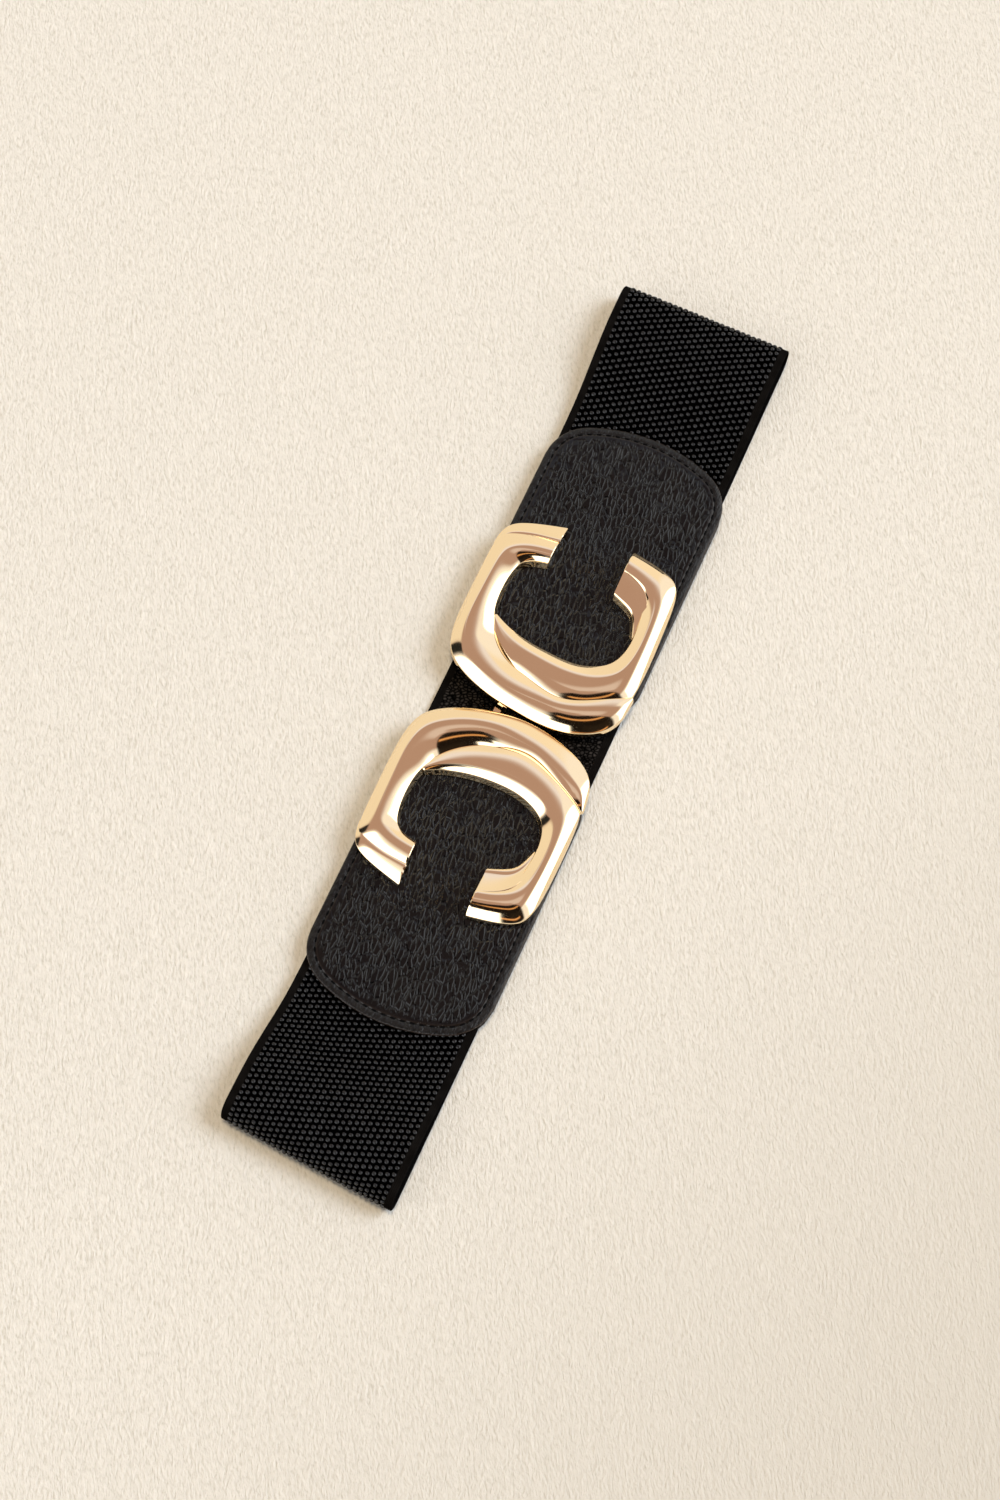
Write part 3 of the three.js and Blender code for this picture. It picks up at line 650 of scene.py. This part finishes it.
def pebble_points(sides, rings):
    """A rounded pillow: (across, along, height) shares, with its faces. It is closed underneath."""
    points, faces = [(0.0, 0.0, 1.0)], []
    for ring in range(1, rings + 1):
        reach = ring / rings
        height = (1 - reach ** PEBBLE_DOME[0]) ** PEBBLE_DOME[1]
        for side in range(sides):
            angle = 2 * math.pi * (side + 0.5) / sides
            c, s = math.cos(angle), math.sin(angle)
            square = (abs(c) ** PEBBLE_SQUARE + abs(s) ** PEBBLE_SQUARE) ** (-1 / PEBBLE_SQUARE)
            points.append((reach * c * square, reach * s * square, height))
    for side in range(sides):
        faces.append((0, 1 + side, 1 + (side + 1) % sides))
    for ring in range(rings - 1):
        start = 1 + ring * sides
        for side in range(sides):
            after = (side + 1) % sides
            faces.append((start + side, start + sides + side, start + sides + after, start + after))
    outer = 1 + (rings - 1) * sides
    faces.append(tuple(outer + side for side in range(sides - 1, -1, -1)))
    return points, faces


def path_lengths(path):
    """How far along the webbing's outer face each station lies."""
    lengths = [0.0]
    for before, after in zip(path, path[1:]):
        a = web_point(before, 0, WEB_THICKNESS / 2)
        b = web_point(after, 0, WEB_THICKNESS / 2)
        lengths.append(lengths[-1] + math.dist(a, b))
    return lengths


def row_places(total):
    """How far along the belt each row of the weave lies."""
    places = [0.0]
    while places[-1] < total:
        stretched = ease(places[-1], total * PITCH_CHANGE[0], total * PITCH_CHANGE[1])
        places.append(places[-1] + mix(LOWER_PITCH_ALONG, UPPER_PITCH_ALONG, stretched))
    return places


def make_pebbles(name, path, lengths, span, sides, rings, material):
    """The pebbles of the weave whose middles lie in one span of the webbing."""
    shape, shape_faces = pebble_points(sides, rings)
    half_columns = int((WEB_HALF_WIDTH - SELVEDGE_WIDTH) / PEBBLE_PITCH_ACROSS)
    base = WEB_THICKNESS / 2 - PEBBLE_HEIGHT
    rows = row_places(lengths[-1])
    parts = []
    for column in range(-half_columns, half_columns + 1):
        shift = (column * PEBBLE_SLANT) % 1
        at = 0
        for before, after in zip(rows, rows[1:]):
            middle = mix(before, after, shift)
            if not span[0] <= middle < span[1]:
                continue
            wide = PEBBLE_HALF_WIDTH * random.uniform(*PEBBLE_WIDTHS)
            long = PEBBLE_HALF_LENGTH * random.uniform(*PEBBLE_LENGTHS)
            tall = PEBBLE_HEIGHT * random.uniform(*PEBBLE_HEIGHTS)
            lean = random.uniform(-PEBBLE_LEAN, PEBBLE_LEAN)
            aside = random.uniform(-PEBBLE_WANDER, PEBBLE_WANDER)
            middle += random.uniform(-PEBBLE_WANDER, PEBBLE_WANDER)
            points = []
            for across, along, height in shape:
                target = middle + along * long + lean * across
                while at < len(lengths) - 2 and lengths[at + 1] < target:
                    at += 1
                while at > 0 and lengths[at] > target:
                    at -= 1
                share = (target - lengths[at]) / (lengths[at + 1] - lengths[at])
                station = tuple(mix(a, b, share) for a, b in zip(path[at], path[at + 1]))
                offset = (column * PEBBLE_PITCH_ACROSS + aside + across * wide) / WEB_HALF_WIDTH
                points.append(web_point(station, offset, base + height * tall))
            parts.append((points, shape_faces))
    return make_mesh(name, *joined(parts), material)


# Leather panels

def panel_top(x, inset):
    """How far along the belt a panel's end reaches at x from its middle, moved inwards by an inset."""
    cap = PANEL_END_RADIUS - inset
    corner = PANEL_CORNER_RADIUS - inset
    corner_x = PANEL_HALF_WIDTH - PANEL_CORNER_RADIUS
    span = PANEL_END_RADIUS - PANEL_CORNER_RADIUS
    end_middle = PANEL_REACH - PANEL_END_RADIUS
    corner_y = end_middle + math.sqrt(span ** 2 - corner_x ** 2)
    x = abs(x)
    if x <= cap * corner_x / span:
        return end_middle + math.sqrt(cap ** 2 - x ** 2)
    return corner_y + math.sqrt(max(corner ** 2 - (x - corner_x) ** 2, 0))


def panel_grid(columns, rows):
    """The panel inside its border, as rows of points from the bar's line to the free end.

    The columns lie closer together towards the panel's sides."""
    grid = []
    for row in range(rows + 1):
        line = []
        for column in range(columns + 1):
            share = 2 * column / columns - 1
            share = (1 - COLUMN_CROWDING) * share + COLUMN_CROWDING * math.sin(share * math.pi / 2)
            full = (PANEL_HALF_WIDTH - BORDER) * share
            y = mix(BAR_Y, panel_top(full, BORDER), row / rows)
            narrow = (TONGUE_HALF_WIDTH - BORDER_AT_TONGUE * BORDER) * share
            start = BAR_Y + TONGUE_LENGTH
            line.append((mix(narrow, full, ease(y, start, start + SHOULDER_LENGTH)), y))
        grid.append(line)
    return grid


def grid_border(columns, rows):
    """The (row, column) places round a grid, anticlockwise."""
    right = [(row, columns) for row in range(rows)]
    top = [(rows, column) for column in range(columns, 0, -1)]
    left = [(row, 0) for row in range(rows, 0, -1)]
    bottom = [(0, column) for column in range(columns)]
    return right + top + left + bottom


def outward(loop):
    """Unit vectors out of a closed anticlockwise loop of points."""
    count = len(loop)
    result = []
    for i in range(count):
        ax, ay = loop[i - 1]
        bx, by = loop[(i + 1) % count]
        dx, dy = bx - ax, by - ay
        length = math.hypot(dx, dy)
        result.append((dy / length, -dx / length))
    return result


# The border's section: the distance from the panel's edge, the height below the face, and how far the stitch
# holes press it down there
BORDER_SECTION = [
    (3.25, 0.02, 0),
    (3.0, 0.08, 0.3),
    (2.75, 0.16, 1),
    (2.5, 0.08, 0.3),
    (2.2, 0.0, 0),
    (1.6, -0.05, 0),
    (1.0, -0.03, 0),
    (0.5, 0.06, 0),
    (0.2, 0.2, 0),
    (0.05, 0.4, 0),
    (0.0, 0.65, 0),
    (0.05, 0.9, 0),
    (0.25, 1.1, 0),
    (0.6, 1.2, 0),
]


def border_reach(y):
    """The share of the border's width that is there at a place along the belt."""
    return mix(BORDER_AT_TONGUE, 1, ease(y, BAR_Y + TONGUE_LENGTH, BORDER_FULL_FROM))


def edge_dip(x, y):
    """How far the front layer is pressed down near its side edges."""
    return EDGE_DIP * ease(abs(x), PANEL_HALF_WIDTH - EDGE_DIP_WIDTH, PANEL_HALF_WIDTH) * border_reach(y)


def panel_swell(x, y):
    """How far the face stands up over the webbing, away from the sewn border."""
    beside = ease(PANEL_HALF_WIDTH - abs(x), SWELL_START, SWELL_FULL_BESIDE)
    at_end = ease(PANEL_REACH - y, SWELL_START, SWELL_FULL_AT_END)
    wave = math.sin(SWELL_WAVES["first"] + y * SWELL_WAVES["along"] + x * SWELL_WAVES["across"])
    return PANEL_SWELL * (beside * at_end) * wave ** 2


def stitch_line(loop, normals):
    """The points of the stitch line, and how far along it each one lies."""
    line, lengths = [], [0.0]
    for (x, y), (nx, ny) in zip(loop, normals):
        reach = (BORDER - STITCH_INSET) * border_reach(y)
        line.append((x + nx * reach, y + ny * reach))
    for a, b in zip(line, line[1:]):
        lengths.append(lengths[-1] + math.dist(a, b))
    return line, lengths


def grid_faces(columns, rows, start, under):
    """The faces of a grid of points, turned over where the grid is an underside."""
    width = columns + 1
    faces = []
    for row in range(rows):
        for column in range(columns):
            a = start + row * width + column
            face = (a, a + 1, a + 1 + width, a + width)
            faces.append((a, *face[:0:-1]) if under else face)
    return faces


def strip_faces(before, after):
    """The faces between two closed loops of points."""
    turned = zip(before, after, after[1:] + after[:1], before[1:] + before[:1])
    return [tuple(face) for face in turned]


def make_panel_layer(size, face_z, shaped):
    """One layer of a panel: its face, its border and its underside.

    With it come each point's distance from the edge, the stitch line and the lengths along that line."""
    columns, rows = size
    grid = panel_grid(columns, rows)
    border = grid_border(columns, rows)
    loop = [grid[row][column] for row, column in border]
    normals = outward(loop)
    line, lengths = stitch_line(loop, normals)

    def face_height(x, y):
        if not shaped:
            return face_z
        return face_z - edge_dip(x, y) + panel_swell(x, y)

    near = KDTree(len(loop))
    for i, (x, y) in enumerate(loop):
        near.insert((x, y, 0), i)
    near.balance()
    width = columns + 1
    points = [(x, y, face_height(x, y)) for row in grid for x, y in row]
    insets = [BORDER + near.find((x, y, 0))[2] for x, y, _ in points]
    faces = grid_faces(columns, rows, 0, False)
    before = [row * width + column for row, column in border]
    for inset, below, hole in BORDER_SECTION:
        start = len(points)
        for i, ((x, y), (nx, ny)) in enumerate(zip(loop, normals)):
            reach = (BORDER - inset) * border_reach(y)
            px, py = x + nx * reach, y + ny * reach
            phase = abs((lengths[i] / STITCH_PITCH) % 1 - 0.5) * STITCH_PITCH
            pit = HOLE_DEPTH * hole * max(0, 1 - phase / HOLE_HALF_LENGTH) if shaped else 0
            points.append((px, py, face_height(px, py) - below - pit))
            insets.append(inset)
        after = list(range(start, len(points)))
        faces.extend(strip_faces(before, after))
        before = after
    base = len(points)
    points.extend((x, y, face_height(x, y) - LEATHER) for row in grid for x, y in row)
    insets.extend(insets[:width * (rows + 1)])
    faces.extend(grid_faces(columns, rows, base, True))
    faces.extend(strip_faces(before, [base + row * width + column for row, column in border]))
    return (points, faces), insets, line, lengths


def make_bend():
    """The leather round the bar."""
    inner = WEB_THICKNESS / 2 + GAP
    rings = []
    for x in (-TONGUE_HALF_WIDTH, TONGUE_HALF_WIDTH):
        ring = []
        for radius, start, way in ((inner + LEATHER, math.pi / 2, 1), (inner, math.pi * 1.5, -1)):
            for i in range(BEND_STEPS + 1):
                angle = start + way * math.pi * i / BEND_STEPS
                ring.append((x, BAR_Y + radius * math.cos(angle), BAR_Z + radius * math.sin(angle)))
        rings.append(ring)
    return loft(rings)


def make_stitches(line, lengths, face_z):
    """One short thread between each two holes, lying in the groove."""
    parts = []
    total = lengths[-1]
    at = 0
    for number in range(int(total / STITCH_PITCH)):
        middle = (number + 1) * STITCH_PITCH
        if middle > total - STITCH_PITCH:
            break
        while lengths[at + 1] < middle:
            at += 1
        share = (middle - lengths[at]) / (lengths[at + 1] - lengths[at])
        x, y = (mix(a, b, share) for a, b in zip(line[at], line[at + 1]))
        if y < BAR_Y + TONGUE_LENGTH:
            continue
        dx, dy = (b - a for a, b in zip(line[at], line[at + 1]))
        length = math.hypot(dx, dy)
        dx, dy = dx / length, dy / length
        lean = random.uniform(-STITCH_LEAN, STITCH_LEAN)
        dx, dy = dx - lean * dy, dy + lean * dx
        z = face_z - edge_dip(x, y) + panel_swell(x, y) - STITCH_SINK
        rings = []
        for ring in range(STITCH_RINGS + 1):
            along = -math.cos(math.pi * ring / STITCH_RINGS) * STITCH_LENGTH / 2
            near_end = (2 * along / STITCH_LENGTH) ** 4
            radius = STITCH_RADIUS * math.sqrt(max(1 - near_end, STITCH_TIP))
            drop = STITCH_DROP * near_end
            circle = []
            for i in range(STITCH_SIDES):
                turn = 2 * math.pi * i / STITCH_SIDES
                circle.append((x + dx * along - dy * radius * math.cos(turn),
                               y + dy * along + dx * radius * math.cos(turn),
                               z - drop + radius * math.sin(turn)))
            rings.append(circle)
        parts.append(loft(rings))
    return joined(parts)


def on_side(part, side, centre):
    """Moves a part to its place across the belt, and mirrors it to the lower half where side is -1."""
    points, faces = part
    moved = [(x + centre, y * side, z) for x, y, z in points]
    turned = [face[::-1] for face in faces] if side < 0 else faces
    return moved, turned


def make_panel(name, node, side, leather, thread):
    front, front_insets, line, lengths = make_panel_layer(FRONT_GRID, FRONT_LEATHER_Z + LEATHER, True)
    back, back_insets, _, _ = make_panel_layer(BACK_GRID, BACK_LEATHER_Z + LEATHER, False)
    bend = make_bend()
    bend_insets = [PANEL_HALF_WIDTH] * len(bend[0])
    panel = make_mesh(name, *on_side(joined([front, back, bend]), side, PANEL_CENTRE), leather)
    note(panel, "inset", front_insets + back_insets + bend_insets)
    dress(panel, "leather", node)
    seam = make_stitches(line, lengths, FRONT_LEATHER_Z + LEATHER)
    dress(make_mesh(name + "_stitches", *on_side(seam, side, PANEL_CENTRE), thread), "leather")


# Buckle halves

def smooth_rows(table):
    """Rows along a cubic B-spline through a table, which starts and ends on the first and last rows."""
    def mirror_row(end, after):
        return [2 * a - b for a, b in zip(end, after)]

    control = [mirror_row(table[0], table[1]), *table, mirror_row(table[-1], table[-2])]
    last = len(table) - 1
    rows = []
    for step in range(last * STEPS_PER_ROW + 1):
        at = min(step // STEPS_PER_ROW, last - 1)
        t = step / STEPS_PER_ROW - at
        weights = ((1 - t) ** 3, 3 * t ** 3 - 6 * t ** 2 + 4, -3 * t ** 3 + 3 * t ** 2 + 3 * t + 1, t ** 3)
        values = [sum(weight * control[at + i][column] for i, weight in enumerate(weights)) / 6
                  for column in range(len(BAND_COLUMNS))]
        rows.append(dict(zip(BAND_COLUMNS, values)))
    return rows


def rounded(before, corner, after):
    """Points of a small curve that takes the place of a corner."""
    def toward(a, b):
        length = math.dist(a, b)
        reach = min(RIM, length * RIM_SHARE)
        return [a[k] + (b[k] - a[k]) * reach / length for k in (0, 1)]

    start, end = toward(corner, before), toward(corner, after)
    points = []
    for i in range(RIM_POINTS + 1):
        t = i / RIM_POINTS
        points.append(tuple((1 - t) ** 2 * start[k] + 2 * t * (1 - t) * corner[k] + t ** 2 * end[k]
                            for k in (0, 1)))
    return points


def band_section(row):
    """A band's section, as distances from its outer edge and heights, anticlockwise."""
    width = math.hypot(row["ix"] - row["ox"], row["iy"] - row["oy"])
    inner_foot = (width + WALL_DRAFT, 0)
    outer_foot = (-OUTER_DRAFT, 0)
    dome = []
    for i in range(FACE_POINTS, 0, -1):
        part = (i / FACE_POINTS) ** FACE_CROWDING
        height = row["inner_wall"] + (row["crest"] - row["inner_wall"]) * (1 - part ** row["inner_fall"])
        dome.append(((row["crest_at"] + part * (1 - row["crest_at"])) * width, height))
    for i in range(0, FACE_POINTS + 1):
        part = (i / FACE_POINTS) ** FACE_CROWDING
        height = row["outer_wall"] + (row["crest"] - row["outer_wall"]) * (1 - part ** row["outer_fall"])
        dome.append(((1 - part) * row["crest_at"] * width, height))
    inner_rim = rounded(inner_foot, dome[0], dome[1])
    outer_rim = rounded(dome[-2], dome[-1], outer_foot)
    return [outer_foot, inner_foot, *inner_rim, *dome[1:-1], *outer_rim]


def place_section(row, section):
    width = math.hypot(row["ix"] - row["ox"], row["iy"] - row["oy"])
    across_x = (row["ix"] - row["ox"]) / width
    across_y = (row["iy"] - row["oy"]) / width
    return [(row["ox"] + across * across_x, row["oy"] + across * across_y, BUCKLE_Z + height)
            for across, height in section]


def bevelled_end(last, before):
    """Two rings in place of a band's last one, so that its end has a narrow bevel."""
    middle = [sum(point[k] for point in last) / len(last) for k in range(3)]
    face, shoulder = [], []
    for point, inner in zip(last, before):
        reach = math.dist(point, middle)
        share = END_BEVEL / reach
        face.append(tuple(mix(point[k], middle[k], share) for k in range(3)))
        step = END_BEVEL / max(math.dist(point, inner), END_BEVEL)
        shoulder.append(tuple(mix(point[k], inner[k], step) for k in range(3)))
    return shoulder, face


def make_band(table):
    rings = [place_section(row, band_section(row)) for row in smooth_rows(table)]
    first_shoulder, first_face = bevelled_end(rings[0], rings[1])
    last_shoulder, last_face = bevelled_end(rings[-1], rings[-2])
    return loft([first_face, first_shoulder, *rings[1:-1], last_shoulder, last_face])


def box_part(x_from, x_to, y_from, y_to, z_from, z_to):
    corners = [(x, y, z) for z in (z_from, z_to) for y in (y_from, y_to) for x in (x_from, x_to)]
    faces = [(0, 2, 3, 1), (4, 5, 7, 6), (0, 1, 5, 4), (2, 6, 7, 3), (0, 4, 6, 2), (1, 3, 7, 5)]
    return corners, faces


def make_bar():
    turns = [2 * math.pi * i / BAR_SIDES for i in range(BAR_SIDES)]
    circle = [(BAR_Y + BAR_RADIUS * math.cos(turn), BAR_Z + BAR_RADIUS * math.sin(turn)) for turn in turns]
    return loft([[(x, *point) for point in circle] for x in (-BAR_HALF_LENGTH, BAR_HALF_LENGTH)])


def make_post(side):
    middle = side * (BAR_HALF_LENGTH - POST_WIDTH / 2)
    return box_part(middle - POST_WIDTH / 2, middle + POST_WIDTH / 2,
                    BAR_Y - POST_DEPTH / 2, BAR_Y + POST_DEPTH / 2,
                    BAR_Z - BAR_RADIUS, BUCKLE_Z + SINK)


def hook_parts():
    half = HOOK_HALF_WIDTH
    return [
        box_part(-half, half, HOOK_POST[0], HOOK_POST[1], HOOK_Z, BUCKLE_Z + SINK),
        box_part(-half, half, HOOK_POST[0] + HOOK_STEP, HOOK_REACH, HOOK_Z, HOOK_Z + HOOK_THICKNESS),
        box_part(-half, half, HOOK_REACH - HOOK_THICKNESS, HOOK_REACH, HOOK_Z, HOOK_Z + HOOK_LIP_HEIGHT),
    ]


def loop_parts():
    outside, inside = LOOP_HALF_WIDTH, LOOP_HALF_WIDTH - LOOP_WIRE
    top = LOOP_Z + LOOP_HEIGHT
    return [
        box_part(-outside, -inside, -LOOP_BAR[1], LOOP_ROOT[1], LOOP_Z, top),
        box_part(inside, outside, -LOOP_BAR[1], LOOP_ROOT[1], LOOP_Z, top),
        box_part(-outside, outside, -LOOP_BAR[1], -LOOP_BAR[0], LOOP_Z, top),
        box_part(-outside, outside, LOOP_ROOT[0], LOOP_ROOT[1], LOOP_Z, BUCKLE_Z + SINK),
    ]


def drawn_out(band):
    """A band of the upper casting, which is fuller at its corner on the right of the middle."""
    points, faces = band
    moved = []
    for x, y, z in points:
        beside = ease(x, UPPER_CORNER["x_from"], UPPER_CORNER["x_to"])
        share = beside * (1 - ease(y, UPPER_CORNER["y_from"], UPPER_CORNER["y_to"]))
        moved.append((x + UPPER_CORNER["across"] * share, y - UPPER_CORNER["along"] * share, z))
    return moved, faces


def make_buckle(name, node, side, centre, clasp, material):
    """One casting: its bands, its bar and its half of the clasp, each a closed shell sunk into the next."""
    parts = [make_band(table) for table in (MAIN_BAND, SECOND_BAND, OUTER_STRIP, INNER_FLAP)]
    if side > 0:
        parts = [drawn_out(band) for band in parts]
    parts += [make_bar(), make_post(-1), make_post(1), *clasp]
    casting = make_mesh(name, *on_side(joined(parts), side, centre), material)
    casting.data.set_sharp_from_angle(angle=math.radians(SHARP_ANGLE))
    return dress(casting, "gold", node)


# Scene

def make_floor(material):
    corners = [(FLOOR_HALF * x, FLOOR_HALF * y, 0) for x, y in ((-1, -1), (1, -1), (1, 1), (-1, 1))]
    make_mesh("floor", corners, [(0, 1, 2, 3)], material)


def make_camera():
    data = bpy.data.cameras.new("camera")
    data.lens = CAMERA_LENS
    data.sensor_width = CAMERA_SENSOR
    camera = bpy.data.objects.new("camera", data)
    right = Vector((math.cos(CAMERA_TURN), math.sin(CAMERA_TURN), 0))
    ahead = Vector((-math.sin(CAMERA_TURN), math.cos(CAMERA_TURN), 0))
    back = -math.sin(CAMERA_TILT) * ahead + math.cos(CAMERA_TILT) * Vector((0, 0, 1))
    up = back.cross(right)
    turn = Matrix((right, up, back)).transposed()
    place = Vector((*CAMERA_AIM, 0)) + back * CAMERA_DISTANCE
    camera.matrix_world = Matrix.Translation(place * MM) @ turn.to_4x4()
    bpy.context.collection.objects.link(camera)
    bpy.context.scene.camera = camera


def make_lamps():
    for values in LAMPS:
        row = dict(zip(LAMP_COLUMNS, values))
        data = bpy.data.lights.new("lamp", "SUN")
        data.energy = row["strength"]
        data.color = row["colour"]
        data.angle = math.radians(row["width"])
        lamp = bpy.data.objects.new("lamp", data)
        direction, height = row["direction"], row["height"]
        level = cosine(height)
        toward = Vector((level * cosine(direction), level * sine(direction), sine(height)))
        lamp.matrix_world = toward.to_track_quat("Z", "Y").to_matrix().to_4x4()
        lamp.visible_glossy = False
        bpy.context.collection.objects.link(lamp)


def make_world():
    world = bpy.data.worlds.new("studio")
    tree = Tree(world, "Background")
    parts = tree.add("SeparateXYZ", {0: tree.add("TexCoord").outputs["Generated"]}).outputs
    level = tree.add("CombineXYZ", {"X": parts["X"], "Y": parts["Y"]}).outputs[0]
    compass = tree.add("VectorMath", {0: level}, operation="NORMALIZE").outputs[0]
    height = parts["Z"]
    colour = CEILING_COLOUR
    for values in PATCHES:
        patch = dict(zip(PATCH_COLUMNS, values))
        width, low, high = patch["half_width"], patch["low"], patch["high"]
        soft = patch["softness"] / 2
        facing = tree.towards(compass, patch["direction"])
        beside = tree.between(facing, cosine(width + soft), cosine(width - soft))
        above = tree.between(height, sine(low - soft), sine(low + soft))
        below = tree.between(height, sine(high + soft), sine(high - soft))
        inside = tree.times(beside, tree.times(above, below))
        colour = tree.blended(inside, colour, patch["colour"])
    tree.set("Color", colour)
    ray = tree.add("LightPath").outputs["Is Diffuse Ray"]
    tree.set("Strength", tree.scaled(ray, 1, STUDIO_SHARE))
    bpy.context.scene.world = world


scene = bpy.context.scene
scene.view_settings.view_transform = "Standard"
make_camera()
make_world()
make_lamps()
make_floor(floor_material())

gold = gold_material()
leather = leather_material()
thread = thread_material()
webbing = webbing_material()
yarn = yarn_material()

path = web_path()
lengths = path_lengths(path)
elastic = dress(make_elastic_band(path, webbing), "webbing", "elastic_band")
front = PANEL_REACH - WEB_END - WEAVE_UNDER_PANEL
turned = LOWER_END["reach"] - WEB_END + WEAVE_PAST_FOLD
total = lengths[-1]
for name, start, end, sides, rings in (
    ("weave_lower", front, turned, 10, 3),
    ("weave_upper", total - turned, total - front, 10, 3),
    ("weave_back", turned, total - turned, 8, 2),
):
    dress(make_pebbles(name, path, lengths, (start, end), sides, rings, yarn), "webbing")
make_panel("leather_panel_upper_shaped", "leather_panel_upper", 1, leather, thread)
make_panel("leather_panel_lower_shaped", "leather_panel_lower", -1, leather, thread)
make_buckle("buckle_upper_casting", "buckle_upper", 1, UPPER_CENTRE, hook_parts(), gold)
make_buckle("buckle_lower_casting", "buckle_lower", -1, LOWER_CENTRE, loop_parts(), gold)
